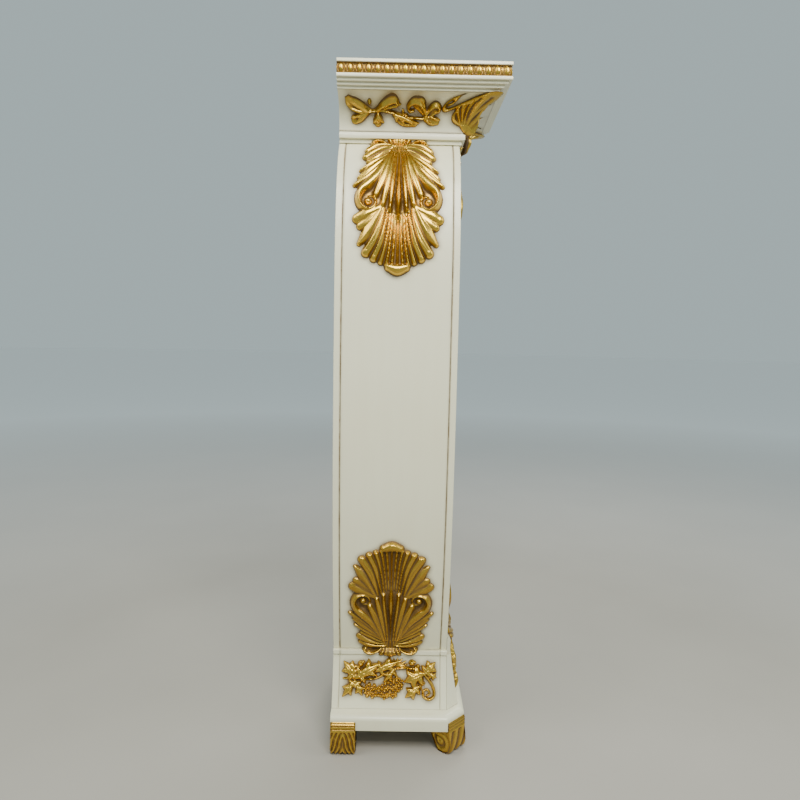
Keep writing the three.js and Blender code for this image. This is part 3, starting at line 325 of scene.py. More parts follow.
def acanthus_strokes():
    """Right half of the leaf: u runs across from the middle line, v down from its root, in millimetres."""
    strokes = laid([
        ("flat", [(0, 6), (0, 60), (0, 122)], [11, 24, 34], [5, 5, 5]),
        ("flat", [(12, 26), (34, 34), (44, 40)], [9, 13, 12], [5, 5, 5]),
        ("flat", [(20, 44), (44, 66), (56, 84)], [9, 14, 15], [5, 5, 5]),
        ("flat", [(16, 150), (34, 182), (36, 212)], [20, 28, 22], [3.5, 3.5, 3.5]),
        ("flat", [(0, 196), (0, 220), (0, 240)], [22, 30, 22], [3, 3, 3]),
        ("flat", [(24, 146), (44, 156), (60, 166)], [12, 16, 16], [4, 4, 4]),
        ("flat", [(34, 112), (46, 128), (52, 134)], [14, 20, 20], [4, 4, 4]),
        ("flat", [(10, 60), (20, 96), (24, 132)], [10, 17, 18], [5, 5.5, 6]),
        # root: flutes under the neck and a small volute
        ("rib", [(0, 2), (0, 14), (0, 34)], [5, 3.5, 4], [8, 9, 12]),
        ("rib", [(9, 2), (7, 14), (6, 36)], [5, 3.5, 4], [8, 10, 12]),
        ("rib", [(18, 2), (13, 14), (11, 36)], [5, 4, 4], [8, 10, 12]),
        ("round", [(14, 17), (24, 9), (36, 4), (46, 5), (51, 11), (45, 16), (38, 14)],
         [3, 4, 5, 5, 4.5, 4, 3.5], [9, 10, 10, 10, 9, 8, 7]),
        ("round", [(42, 9)], [4.5], [10]),
        # first tier: a round lobe of three broad flutes
        ("rib", [(8, 20), (26, 20), (44, 23), (57, 29)], [4, 7, 9, 8], [10, 12, 12, 8]),
        ("rib", [(9, 24), (28, 29), (47, 36), (61, 43)], [4, 7, 9, 8], [10, 13, 12, 8]),
        ("rib", [(10, 28), (26, 37), (42, 47), (56, 53)], [4, 6, 7.5, 6], [10, 12, 11, 7]),
        # second tier: pointed lobes
        ("rib", [(11, 33), (30, 48), (50, 61), (70, 72)], [4, 7, 8, 4], [10, 12, 11, 7]),
        ("rib", [(12, 37), (32, 56), (54, 73), (72, 86)], [4, 7, 8.5, 5], [10, 12, 11, 7]),
        ("rib", [(14, 41), (35, 64), (58, 85), (80, 101)], [4, 7.5, 9, 5], [10, 12, 11, 7]),
        # middle leaf: flutes from the root to its scalloped edge
        ("rib", [(13, 34), (20, 62), (30, 94), (41, 121)], [5, 9, 11.5, 9], [11, 14, 16, 14]),
        ("rib", [(9, 34), (14, 68), (21, 106), (28, 139)], [4.4, 8, 10.5, 8.5], [11, 15, 17, 15]),
        ("rib", [(5, 34), (8, 72), (12, 112), (15, 148)], [4, 6.6, 9, 7], [12, 15, 18, 16]),
        ("ridge", [(0, 32), (0, 80), (0, 130), (0, 168)], [3, 6, 10, 2], [13, 17, 20, 17]),
        # a lobe between the flutes and the volute
        ("rib", [(24, 78), (34, 100), (45, 116)], [4, 6.5, 5], [11, 13, 12]),
        # the great volute
        ("round", [(16, 34), (25, 58), (38, 82), (54, 100), (67, 113), (72, 128), (67, 142), (55, 148),
         (45, 143), (41, 132), (46, 124), (54, 124)], [4, 8, 11.5, 12.5, 11, 9, 8, 7, 6, 5, 4.2, 3.6],
         [11, 13, 15, 17, 18.5, 18.5, 18, 17, 16, 15, 15, 14]),
        ("round", [(55, 134)], [10], [15]),
        ("round", [(63, 137)], [4.2], [17]),
        ("round", [(46, 140)], [3.6], [16]),
        # lower fan
        ("rib", [(28, 140), (44, 150), (60, 157), (73, 164)], [7, 10, 12, 11], [10, 11, 11, 8]),
        ("rib", [(28, 146), (44, 161), (58, 172), (68, 178)], [6, 9, 10, 8], [9, 10, 9, 7]),
        ("ridge", [(30, 143), (42, 168), (54, 190), (70, 210)], [7, 12, 13, 5], [11, 13, 13, 8]),
        ("rib", [(25, 146), (33, 176), (43, 203), (57, 226)], [5, 9, 11, 9.5], [11, 14, 14, 10]),
        ("rib", [(19, 149), (25, 181), (32, 211), (43, 236)], [4.4, 7, 9, 8.2], [11, 14, 14, 11]),
        ("rib", [(14, 152), (18, 186), (23, 216), (30, 242)], [3.6, 5.4, 7, 7], [11, 14, 14, 11]),
        ("rib", [(9.5, 155), (12.5, 190), (16, 222), (20, 247)], [3, 4.4, 5.6, 6], [11, 15, 15, 11]),
        ("rib", [(5, 158), (6.4, 194), (8.2, 224), (10.4, 250)], [2.8, 3.8, 4.8, 5.2], [11, 15, 15, 11]),
        ("rib", [(0, 160), (0, 196), (0, 226), (0, 250)], [2.6, 3.4, 4.2, 4.6], [12, 15, 15, 11]),
        ("round", [(-15, 252), (0, 256), (15, 252)], [9, 12, 9], [12, 13, 12]),
    ])
    return strokes + laid(("cut", points, [0.8, 1.2, 0.9], depths) for depths, points in (
        ([0.5, 1.6, 1.2], [(28, 146), (50, 157), (66, 167), (80, 172)]),
        ([0.5, 2.2, 1.4], [(10, 22), (34, 25), (50, 30), (62, 36)]),
        ([0.5, 1.8, 1.2], [(18, 40), (46, 60), (66, 72)]),
        ([0.5, 1.8, 1.2], [(20, 46), (50, 76), (74, 96)]),
        ([0.5, 1.8, 1.0], [(22, 60), (34, 86), (50, 106), (62, 120), (66, 132), (61, 141)]),
        ([0.4, 1.4, 1.4], [(20, 70), (29, 96), (38, 118)]),
        ([0.4, 1.4, 1.4], [(14, 70), (20, 108), (26, 136)]),
        ([0.4, 1.4, 1.4], [(8, 72), (12, 112), (15, 140)]),
        ([0.4, 1.8, 1.4], [(30, 170), (40, 198), (56, 222)]),
        ([0.4, 1.6, 1.2], [(23, 180), (30, 208), (41, 232)]),
    ))


def leaf_fingers(root, tips, width, lift):
    """Fingers from one root to several tips, each bowed a little sideways. Tips are ((u, v), bend)."""
    strokes = []
    for (u, v), bend in tips:
        du, dv = u - root[0], v - root[1]
        middle = (root[0] + du * 0.55 - dv * bend, root[1] + dv * 0.55 + du * bend)
        widths, lifts = [width * 0.5, width, width * 0.3], [lift * 0.8, lift, lift * 0.55]
        strokes.append(("rib", tapered([root, middle, (u, v)], widths, lifts)))
    return strokes


def scroll_strokes():
    """The running leaf scroll of a side of the capital: u from the back, v up from the foot of the cove."""
    strokes = laid([
        ("flat", [(8, 46), (26, 40), (44, 34)], [7, 9, 6], [3, 3.6, 3]),
        ("flat", [(18, 18), (30, 26), (42, 32)], [6, 9, 6], [3, 3.6, 3]),
        ("flat", [(62, 36), (80, 42), (95, 45)], [5, 7, 5], [3, 3.6, 3]),
        ("flat", [(60, 28), (61, 20), (62, 15)], [5, 9, 7], [3, 3.6, 3]),
        ("flat", [(94, 29), (110, 20), (130, 15)], [6, 10, 6], [3, 3.6, 3]),
        ("flat", [(152, 28), (143, 40), (130, 46)], [5, 8, 6], [3, 3.6, 3]),
        ("flat", [(152, 22), (164, 20), (172, 18)], [5, 8, 5], [3, 3.6, 3]),
        ("flat", [(154, 30), (164, 38), (172, 40)], [5, 7, 5], [3, 3.6, 3]),
        # fish tail at the back end
        ("rib", [(44, 34), (35, 38), (20, 45), (2, 50)], [4, 6, 6, 1.5], [8, 9, 8, 5]),
        ("rib", [(40, 33), (30, 33), (16, 36), (6, 40)], [3, 5, 4, 1.5], [7, 8, 7, 4]),
        ("rib", [(44, 34), (36, 27), (28, 20), (20, 13)], [4, 6, 6, 1.5], [8, 9, 8, 5]),
        ("rib", [(40, 32), (28, 27), (16, 24), (12, 22)], [3, 5, 4, 1.5], [7, 8, 7, 4]),
        ("round", [(46, 46)], [4], [8]),
        # wavy stem
        ("round", [(44, 33), (67, 35), (91, 32), (116, 26), (136, 24), (153, 25), (170, 33)],
         [3.5, 3.5, 3.5, 3.2, 3, 3, 2.5], [9, 10, 10, 9, 9, 9, 8]),
        # upper leaf that curls over
        ("rib", [(60, 36), (72, 43), (84, 48), (94, 49), (98, 44), (93, 41)], [4, 6.5, 6.5, 5, 4, 3],
         [9, 12, 12, 12, 11, 10]),
        ("rib", [(68, 35), (80, 40), (92, 42), (104, 44)], [2.5, 4, 4, 1.5], [7, 8, 8, 5]),
        # C curl
        ("round", [(154, 26), (149, 36), (140, 46), (128, 48), (119, 42), (121, 35), (128, 36)],
         [3.4, 5, 5.4, 5, 4.4, 3.6, 3], [9, 11, 12, 12, 11, 10, 9]),
        ("rib", [(150, 38), (146, 48), (136, 52)], [2.5, 3.5, 1.5], [7, 8, 5]),
        # end curl
        ("round", [(150, 27), (158, 38), (168, 44), (176, 41), (174, 35), (168, 36)],
         [3.4, 4.8, 5, 4.4, 3.6, 3], [9, 11, 11, 11, 10, 9]),
        ("rib", [(152, 24), (158, 17), (166, 13)], [3, 4, 1.5], [8, 8, 5]),
        ("rib", [(160, 27), (170, 24), (178, 22)], [3, 4, 1.5], [8, 8, 5]),
    ])
    strokes += leaf_fingers((62, 33), [((54, 15), 0.15), ((62, 12), 0), ((72, 16), -0.15)], 6.5, 10)
    strokes += leaf_fingers(
        (92, 32), [((96, 18), 0.2), ((112, 13), 0.12), ((128, 12), 0.06), ((138, 16), -0.05)], 6.5, 10)
    strokes += leaf_fingers((112, 27), [((108, 38), 0.1), ((118, 30), 0.1)], 3.5, 8)
    return strokes + laid(("cut", points, [0.8], [1.5, 2, 1]) for points in (
        [(40, 35), (20, 44), (6, 49)], [(42, 33), (28, 20), (22, 15)], [(64, 38), (84, 47), (93, 47)],
        [(94, 29), (112, 16), (126, 13)], [(152, 32), (141, 44), (128, 47)],
    ))


def vine_leaf(stalk, tip, half, lift):
    """A broad vine leaf from its stalk to its tip: a domed blade, two lobes on each side, and a cut vein in each."""
    stalk, tip = np.array(stalk, float), np.array(tip, float)
    along = tip - stalk
    aside = np.array([-along[1], along[0]]) / math.hypot(*along)
    spines = [[stalk, stalk + along * 0.5, tip]]
    strokes = [("round", tapered(spines[0], np.array([0.35, 0.62, 0.1]) * half, np.array([0.8, 1, 0.5]) * lift))]
    for sign in (-1, 1):
        for start, reach, out in ((0.12, 0.18, 1.0), (0.3, 0.66, 0.95)):
            middle = stalk + along * (start + reach) * 0.6 + aside * sign * half * out * 0.55
            spines.append([stalk + along * start, middle, stalk + along * reach + aside * sign * half * out])
            widths, lifts = np.array([0.3, 0.38, 0.1]) * half, np.array([0.7, 0.9, 0.45]) * lift
            strokes.append(("round", tapered(spines[-1], widths, lifts)))
    return strokes + [("cut", tapered(spine, [0.7, 0.8, 0.5], [1.0, 1.8, 0.6])) for spine in spines]


def grape_bunch(middle, half, turn, size, lift):
    """Grapes in staggered rows over an oval turned by an angle in degrees, each a dome, higher in the middle."""
    strokes = []
    c, s = math.cos(math.radians(turn)), math.sin(math.radians(turn))
    rows = int(half[1] / (size * 1.6)) + 1
    for row in range(-rows, rows + 1):
        for column in range(-20, 21):
            u, v = (column + 0.5 * (row % 2)) * size * 1.95, row * size * 1.7
            away = math.hypot(u / half[0], v / half[1])
            if away < 1:
                # sines of the row and column put each grape a little out of line, larger or higher
                stray_u = 0.2 * size * math.sin(7.1 * row + 12.9 * column)
                stray_v = 0.2 * size * math.sin(5.3 * column + 9.7 * row)
                place = middle[0] + u * c - v * s + stray_u, middle[1] + u * s + v * c + stray_v
                wide = size * (1.05 + 0.16 * math.sin(3.7 * row - 8.3 * column))
                high = lift * (1.05 - 0.3 * away) + 0.7 * math.sin(4.1 * column + 6.7 * row)
                strokes.append(("round", [(*place, wide, high)]))
    return strokes


def plaque_strokes():
    """The vine plaque of a side: u from its back end (0) to its front end (192), v up from its foot (0) to 76."""
    strokes = laid([
        # twigs and the stem that ends in a spiral
        ("round", [(4, 37), (29, 37), (50, 36), (70, 38), (86, 46), (105, 56)], [2.2, 2.8, 2.6, 2.6, 3, 3],
         [7, 9, 8, 8, 9, 10]),
        ("round", [(98, 54), (118, 57), (140, 57), (157, 51), (172, 39), (183, 23), (185, 9), (176, 2.5),
         (165, 6), (163, 15), (171, 19), (176, 13), (171, 9)],
         [3, 3.2, 3.2, 3.2, 3.2, 3.2, 3, 3, 2.8, 2.8, 2.6, 2.4, 2.2],
         [9, 10, 10, 10, 11, 11, 11, 10, 10, 10, 10, 9, 9]),
        # buds
        ("round", [(38, 64)], [6.5], [10]),
        ("round", [(34, 59)], [3.5], [11]),
        ("round", [(43, 68)], [3], [10]),
        ("round", [(140, 67)], [6.5], [9]),
        ("round", [(152, 60)], [5], [10]),
        ("round", [(146, 68)], [3], [10]),
        # tendrils beside the spiral
        ("round", [(152, 36), (160, 34), (166, 30), (162, 26)], [1.8, 2.2, 1.8, 1.4], [6, 8, 7, 6]),
        ("round", [(150, 28), (158, 25), (160, 18)], [1.8, 2.2, 1.5], [6, 7, 6]),
    ])
    for leaf in (((27, 40), (4, 68), 15, 9), ((26, 42), (21, 70), 9, 9), ((30, 40), (78, 66), 18, 12),
                 ((70, 52), (116, 71), 15, 11)):
        strokes += vine_leaf(*leaf)
    strokes += leaf_fingers((108, 60), [((104, 75), 0.05), ((112, 76), 0), ((121, 75), 0), ((129, 71), -0.05),
                                        ((133, 65), -0.05)], 2.6, 8)
    for leaf in (((27, 33), (3, 5), 12, 10), ((29, 32), (42, 7), 11, 9), ((160, 47), (126, 32), 19, 11),
                 ((154, 24), (128, 5), 13, 10), ((166, 48), (187, 68), 14, 9), ((176, 46), (190, 40), 8, 8)):
        strokes += vine_leaf(*leaf)
    strokes += grape_bunch((59, 16), (12, 17), 80, 3.3, 8)
    strokes += grape_bunch((98, 21), (29, 17), 28, 3.3, 11)
    strokes += vine_leaf((105, 55), (84, 31), 12, 12)
    return strokes


def front_scroll_strokes():
    """Right half of the front's short scroll: two leaves that curl away from a bud in the middle."""
    return laid([
        ("round", [(0, 30)], [5], [10]),
        ("ridge", [(0, 30), (0, 44), (0, 54)], [4, 5, 1], [9, 10, 6]),
        ("ridge", [(0, 28), (0, 18), (0, 10)], [3, 4, 1], [8, 9, 5]),
        ("round", [(0, 28), (12, 22), (26, 22), (38, 30), (40, 40), (32, 44), (27, 38), (31, 34)],
         [3, 4, 4, 4, 3.6, 3.2, 3, 2.5], [9, 10, 10, 10, 9, 9, 8, 8]),
        ("rib", [(6, 32), (14, 40), (22, 48)], [3, 4, 1.5], [8, 9, 5]),
        ("rib", [(24, 20), (34, 17), (46, 18)], [3, 4, 1.5], [8, 9, 5]),
        ("rib", [(16, 20), (22, 14), (32, 10)], [3, 4, 1.5], [8, 8, 5]),
    ])


def corner_leaf_strokes():
    """One half of the leaf round a front corner: c runs from the corner along a face, b up from the cove's foot."""
    fronds = ((1, 26), (3, 50)), ((6, 26), (12, 47)), ((12, 26), (22, 44)), ((17, 24), (31, 40))
    veins = [(2, 14), (4, 28), (8, 47)], [(5, 14), (9, 27), (17, 44)], [(8, 14), (15, 26), (27, 41)]
    return laid([
        ("flat", [(0, 4), (8, 22), (16, 40)], [4, 9, 14], [4, 5, 6]),
        *(("rib", [(1, 3), middle, top], [1.8, 3.4, 4.4], [7, 10, 10]) for middle, top in fronds),
        ("rib", [(12, 14), (24, 22), (30, 31), (29, 38)], [2, 4, 3.5, 2], [7, 9, 9, 7]),
        *(("cut", vein, [0.8, 1.1, 1.1], [1.5, 3, 3]) for vein in veins),
        # the rolled rim and its volute
        ("round", [(0, 54), (14, 51), (28, 46), (40, 40), (50, 37), (58, 41), (59, 49), (53, 52), (48, 47),
                   (53, 44)], [3.4, 3.6, 3.6, 3.2, 3.2, 3.2, 3, 2.8, 2.6, 2.4], [12, 12, 12, 11, 10, 10, 10, 10, 9, 9]),
    ])


# ---- putting surfaces into meshes ----


def six_volumes(points, loops, starts):
    """Six times the signed volume: every face is cut into a fan, and each triangle adds its triple product."""
    ends = np.append(starts[1:], len(loops))
    total = 0.0
    for count in np.unique(ends - starts):
        pick = starts[(ends - starts) == count]
        corner = [points[loops[pick + k]] for k in range(count)]
        for k in range(1, count - 1):
            total += np.einsum("ij,ij->", corner[0], np.cross(corner[k], corner[k + 1]))
    return total


# the word that a slot puts before a piece's name, and the layer of shades that its finish reads
WORK = {"ivory_lacquer": ("lacquered", "glaze_and_shade"), "gold_leaf": ("gilt", "toning_and_shade")}


def put_piece(name, points, quads, caps, slot, shades, crease=40, node=None):
    """One closed piece from points in millimetres, rows of four corners and longer cap faces. It is turned inside
    out if its signed volume is negative, shaded smooth except at creases, and stands for the frame's node of its
    name or the node given."""
    points = np.asarray(points, float).reshape(-1, 3)
    loops = np.concatenate([np.asarray(quads).ravel()] + [np.asarray(cap) for cap in caps]).astype(np.int32)
    counts = np.concatenate([np.full(len(quads), 4), [len(cap) for cap in caps]]).astype(np.int32)
    starts = np.concatenate([[0], np.cumsum(counts)[:-1]]).astype(np.int32)
    if six_volumes(points, loops, starts) < 0:
        loops = np.concatenate([loops[:4 * len(quads)].reshape(-1, 4)[:, ::-1].ravel()]
                               + [np.asarray(cap)[::-1] for cap in caps]).astype(np.int32)
    word, layer = WORK[slot]
    node, name = node or name, f"{word}_{name}"
    mesh = bpy.data.meshes.new(name)
    mesh.vertices.add(len(points))
    mesh.vertices.foreach_set("co", (points * 0.001).astype(np.float32).ravel())
    mesh.loops.add(len(loops))
    mesh.loops.foreach_set("vertex_index", loops)
    mesh.polygons.add(len(counts))
    mesh.polygons.foreach_set("loop_start", starts)
    mesh.polygons.foreach_set("use_smooth", np.ones(len(counts), bool))
    mesh.attributes.new(layer, "FLOAT", "POINT").data.foreach_set("value", np.asarray(shades, np.float32).ravel())
    mesh.update(calc_edges=True)
    if mesh.validate():
        raise RuntimeError(f"{name} has faces that had to be mended")
    mesh.set_sharp_from_angle(angle=math.radians(crease))
    mesh.materials.append(finish(slot))
    piece = bpy.data.objects.new(name, mesh)
    bpy.context.scene.collection.objects.link(piece)
    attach(piece, "root")
    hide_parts(node)
    return piece


def grid_quads(rows, columns, wrap=False):
    """Corners of the quads of a grid of points, row after row; with wrap the last column meets the first."""
    at = np.arange(rows * columns).reshape(rows, columns)
    if wrap:
        at = np.hstack([at, at[:, :1]])
    return np.stack([at[:-1, :-1], at[:-1, 1:], at[1:, 1:], at[1:, :-1]], -1).reshape(-1, 4)


def put_loft(name, rings, slot, shades, crease=40, node=None):
    """A closed piece through rings of points: quads from ring to ring, and one flat face on each end."""
    rows, columns = rings.shape[:2]
    first = np.arange(columns)
    caps = [first[::-1], first + (rows - 1) * columns]
    return put_piece(name, rings, grid_quads(rows, columns, True), caps, slot, shades, crease, node)


SEAT, CARVED_OVER = -1.5, -0.8  # height of a carving's back, and of the lowest cells that belong to it


def put_carving(name, relief, place, tone=0.0):
    """A carved piece: the grid cells that rise over the floor of the field, lifted by `place`, the same cells on their
    seat turned round, and walls between both along the border. Cells that would only meet at a corner are joined or
    left out. Tone is painted shade added to the shade of the hollows."""
    height = relief.height
    corner = np.maximum.reduce([height[:-1, :-1], height[1:, :-1], height[:-1, 1:], height[1:, 1:]])
    keep = np.pad(corner > CARVED_OVER, 1)
    for _ in range(3):
        block = [keep[:-1, :-1], keep[1:, 1:], keep[:-1, 1:], keep[1:, :-1]]
        cross = (block[0] & block[1] & ~block[2] & ~block[3]) | (~block[0] & ~block[1] & block[2] & block[3])
        for part in block:
            part |= cross
    cells = keep[1:-1, 1:-1]
    rows, columns = height.shape
    u, v = np.meshgrid(relief.u, relief.v, indexing="ij")
    face = place(u, v, height)
    under = place(u, v, np.full(height.shape, SEAT))
    at = np.arange(rows * columns).reshape(rows, columns)
    a, b, c, d = at[:-1, :-1], at[:-1, 1:], at[1:, 1:], at[1:, :-1]
    count = rows * columns
    quads = [np.stack([a[cells], b[cells], c[cells], d[cells]], -1)]
    quads.append(quads[0][:, ::-1] + count)
    full = np.pad(cells, 1)
    borders = ((a, b, full[:-2, 1:-1]), (b, c, full[1:-1, 2:]), (c, d, full[2:, 1:-1]), (d, a, full[1:-1, :-2]))
    for p, q, beside in borders:
        edge = cells & ~beside
        quads.append(np.stack([q[edge], p[edge], p[edge] + count, q[edge] + count], -1))
    quads = np.vstack(quads)
    used, quads = np.unique(quads, return_inverse=True)
    points = np.vstack([face.reshape(-1, 3), under.reshape(-1, 3)])[used]
    # the hollows' toning and painted shade, with the tone's painted shade added
    shades = unit(np.tile(relief.toning_and_shade.ravel(), 2)[used] + tone)
    return put_piece(name, points, quads.reshape(-1, 4), [], "gold_leaf", shades, 70)


SHARP_TURN, EASED_SHARE = 0.25, 0.3  # sine from which a corner is eased, and the most of an edge that it takes


def eased(outline, radius):
    """The closed outline with each corner eased: an outer corner becomes a short arc through the points at the radius
    and the corner drawn in, an inner corner keeps its point and gets painted shade. Gives points and shades."""
    outline = np.asarray(outline, float)
    before, after = np.roll(outline, 1, 0), np.roll(outline, -1, 0)
    area = np.sum(outline[:, 0] * after[:, 1] - after[:, 0] * outline[:, 1])
    points, shades = [], []
    for here, prior, following in zip(outline, before, after):
        back, ahead = prior - here, following - here
        far_back, far_ahead = np.hypot(*back), np.hypot(*ahead)
        back, ahead = back / far_back, ahead / far_ahead
        turn = (back[1] * ahead[0] - back[0] * ahead[1]) * np.sign(area)
        if abs(turn) < SHARP_TURN:
            points.append(here)
            shades.append(0)
            continue
        is_outer = turn > 0
        reach = min(radius if is_outer else 1.3 * radius, far_back * EASED_SHARE, far_ahead * EASED_SHARE)
        middle = here + (back + ahead) * reach * 0.3 if is_outer else here
        points += [here + back * reach, middle, here + ahead * reach]
        # an inner corner gets painted shade
        shades += [0, 0 if is_outer else 1, 0]
    return np.array(points), np.array(shades)


# ---- finishes ----


def add_node(tree, kind, links=None, **settings):
    """A shader node with its settings; an input given a socket is linked, and any other value is set on it."""
    made = tree.nodes.new(kind)
    for key, value in settings.items():
        setattr(made, key, value)
    for key, value in (links or {}).items():
        if isinstance(value, bpy.types.NodeSocket):
            tree.links.new(value, made.inputs[key])
        else:
            made.inputs[key].default_value = value
    return made


class Finish:
    """A material under way: noise, mixes and sums of its nodes, and the surface shader at the end."""

    def __init__(self, name):
        self.material = bpy.data.materials.new(name)
        self.material.use_nodes = True
        self.tree = self.material.node_tree
        self.tree.nodes.clear()
        self.place = add_node(self.tree, "ShaderNodeTexCoord").outputs["Object"]

    def noise(self, scale, detail=3, stretch=(1, 1, 1), roughness=0.5):
        """Smooth noise of about one blotch per 1 / scale metres, drawn out along the axes by the stretch."""
        laid = add_node(self.tree, "ShaderNodeMapping", {"Vector": self.place, "Scale": stretch})
        made = add_node(self.tree, "ShaderNodeTexNoise", {
            "Vector": laid.outputs["Vector"], "Scale": scale, "Detail": detail, "Roughness": roughness})
        return made.outputs["Fac"]

    def layer(self, name):
        """The shades that a piece's points carry under that name."""
        return add_node(self.tree, "ShaderNodeAttribute", attribute_name=name).outputs["Fac"]

    def facing_down(self):
        """0 where the surface faces a little up and 1 where it faces well down."""
        normal = add_node(self.tree, "ShaderNodeNewGeometry").outputs["Normal"]
        facing = add_node(self.tree, "ShaderNodeSeparateXYZ", {0: normal})
        return self.spread(facing.outputs["Z"], 0.25, -0.65)

    def spread(self, value, low, high, to_low=0.0, to_high=1.0):
        """The value carried straight from low..high to another span, and held there."""
        return add_node(self.tree, "ShaderNodeMapRange", {
            "Value": value, "From Min": low, "From Max": high, "To Min": to_low, "To Max": to_high}).outputs["Result"]

    def math(self, operation, a, b, hold=False):
        """The sum, product or larger of two values, held between 0 and 1 where asked."""
        made = add_node(self.tree, "ShaderNodeMath", {0: a, 1: b}, operation=operation, use_clamp=hold)
        return made.outputs[0]

    def mix(self, share, a, b):
        """Colour a where the share is 0 and colour b where it is 1."""
        made = add_node(self.tree, "ShaderNodeMix", data_type="RGBA")
        for key, value in ((0, share), (6, a), (7, b)):
            if isinstance(value, bpy.types.NodeSocket):
                self.tree.links.new(value, made.inputs[key])
            else:
                made.inputs[key].default_value = value if key == 0 else (*value, 1)
        return made.outputs[2]

    def bump(self, height, strength, distance):
        """Normals that the height tips, by a distance in metres."""
        made = add_node(self.tree, "ShaderNodeBump", {"Height": height, "Strength": strength, "Distance": distance})
        return made.outputs["Normal"]

    def surface(self, **values):
        """The shader; its sockets are named with spaces for underscores."""
        links = {key.replace("_", " "): value for key, value in values.items()}
        shader = add_node(self.tree, "ShaderNodeBsdfPrincipled", links)
        end = add_node(self.tree, "ShaderNodeOutputMaterial")
        self.tree.links.new(shader.outputs["BSDF"], end.inputs["Surface"])
        return self.material


def ivory_lacquer():
    """Semi-gloss ivory lacquer: faint cloudy yellowing and vertical sanding, orange peel, and brown where the shade
    layer says: the brown glaze round the carvings, and painted shade in the grooves and the inner corners."""
    look = bpy.context.scene.stand_finish
    f = Finish("ivory_lacquer_finish")
    clouds = f.spread(f.noise(5, 4), 0.35, 0.75)
    streaks = f.spread(f.noise(60, 3, (1, 1, 0.06)), 0.3, 0.8)
    warm = f.math("MULTIPLY", f.math("ADD", clouds, streaks), 0.32)
    base = f.mix(warm, tuple(look.ivory), tuple(look.ivory_warm))
    speckle = f.spread(f.noise(420, 2), 0.3, 0.75, 0.75, 1.15)
    drift = f.spread(f.noise(45, 3), 0.3, 0.7, 0.75, 1.2)
    # the brown is the glaze round the carvings and painted shade in the grooves and inner corners
    glaze = f.math("MULTIPLY", f.layer("glaze_and_shade"), f.math("MULTIPLY", speckle, drift))
    glaze = f.math("MULTIPLY", glaze, look.glaze_strength, True)
    colour = f.mix(glaze, base, tuple(look.glaze))
    rough = f.spread(f.noise(25, 3), 0.3, 0.7, look.lacquer_roughness - 0.05, look.lacquer_roughness + 0.07)
    peel = f.bump(f.noise(380, 2), 0.08, 0.0004)
    return f.surface(Base_Color=colour, Roughness=rough, Normal=peel, Coat_Weight=0.35, Coat_Roughness=0.16)


def gold_leaf():
    """Burnished gold leaf over carved wood: mottled toning, a fine tooled grain, and brown where the shade layer says:
    toning in the hollows with painted shade there, and more painted shade where the surface faces down."""
    look = bpy.context.scene.stand_finish
    f = Finish("gold_leaf_finish")
    mottle = f.spread(f.noise(55, 4, roughness=0.6), 0.38, 0.72)
    grain = f.noise(420, 3)
    hollow = f.math("ADD", f.layer("toning_and_shade"), f.spread(grain, 0.3, 0.7, -0.10, 0.10))
    # painted shade where the surface faces down, as less light reaches it
    hollow = f.math("ADD", hollow, f.math("MULTIPLY", f.facing_down(), 0.25))
    toned = f.spread(hollow, 0.15, 0.6)
    deep = f.spread(hollow, 0.5, 1.05)
    shade = f.math("MAXIMUM", f.math("MULTIPLY", toned, 0.8), f.math("MULTIPLY", mottle, 0.3))
    colour = f.mix(deep, f.mix(shade, tuple(look.gold), tuple(look.gold_deep)), tuple(look.toning_and_shade))
    metal = f.spread(deep, 0, 1, 1.0, 0.25)
    rough = f.math("ADD", f.spread(mottle, 0, 1, look.gold_roughness - 0.05, look.gold_roughness + 0.1),
                   f.math("MULTIPLY", deep, 0.25))
    tooled = f.bump(grain, 0.25, 0.0005)
    return f.surface(Base_Color=colour, Metallic=metal, Roughness=rough, Normal=tooled)


def bare_wood():
    """Sawn softwood: rings drawn out along the height, and fibres."""
    f = Finish("bare_wood_finish")
    rings = f.spread(f.noise(30, 4, (1, 1, 0.08), 0.6), 0.35, 0.65)
    fibres = f.noise(300, 3, (1, 1, 0.03))
    colour = f.mix(rings, (0.62, 0.45, 0.27), (0.42, 0.27, 0.14))
    rough = f.spread(fibres, 0.3, 0.7, 0.55, 0.75)
    return f.surface(Base_Color=colour, Roughness=rough, Normal=f.bump(fibres, 0.3, 0.0005))


def screw_steel():
    """Plain steel with a fine drawn grain and dull patches."""
    f = Finish("screw_steel_finish")
    grain = f.noise(900, 2, (1, 1, 0.05))
    colour = f.mix(f.spread(f.noise(120), 0.35, 0.7), (0.56, 0.56, 0.55), (0.33, 0.32, 0.30))
    rough = f.spread(grain, 0.3, 0.7, 0.28, 0.5)
    return f.surface(Base_Color=colour, Metallic=1.0, Roughness=rough, Normal=f.bump(grain, 0.2, 0.0003))


FINISHES = {"ivory_lacquer": ivory_lacquer, "gold_leaf": gold_leaf, "bare_wood": bare_wood, "steel_screw": screw_steel}


def finish(slot):
    """The material of a slot, made the first time it is asked for."""
    made = bpy.data.materials.get(FINISHES[slot].__name__ + "_finish")
    return made or FINISHES[slot]()


# ---- carved fields, each worked out once ----

# each design's corners (u, v) in millimetres, its strokes, and whether they are one half of a symmetrical field
DESIGNS = {
    "acanthus": ((-107, -8), (107, 286), acanthus_strokes, True),
    "scroll": ((-14, 2), (194, 58), scroll_strokes, False),
    "front_scroll": ((-60, 2), (60, 58), front_scroll_strokes, True),
    "plaque": ((-15, -12), (207, 90), plaque_strokes, False),
    "corner_leaf": ((-66, 0), (66, 60), corner_leaf_strokes, True),
}
FIELDS = {}


def field(name):
    """The carved field of that design, worked out once for each grid step and halo."""
    sizes = bpy.context.scene.stand_sizes
    step = sizes.carving_step if name == "acanthus" else sizes.fine_step
    key = name, step, sizes.halo
    if key not in FIELDS:
        low, high, strokes, mirrored = DESIGNS[name]
        FIELDS[key] = Relief(low, high, strokes(), step * 1000, mirrored, sizes.halo * 1000)
    return FIELDS[key]


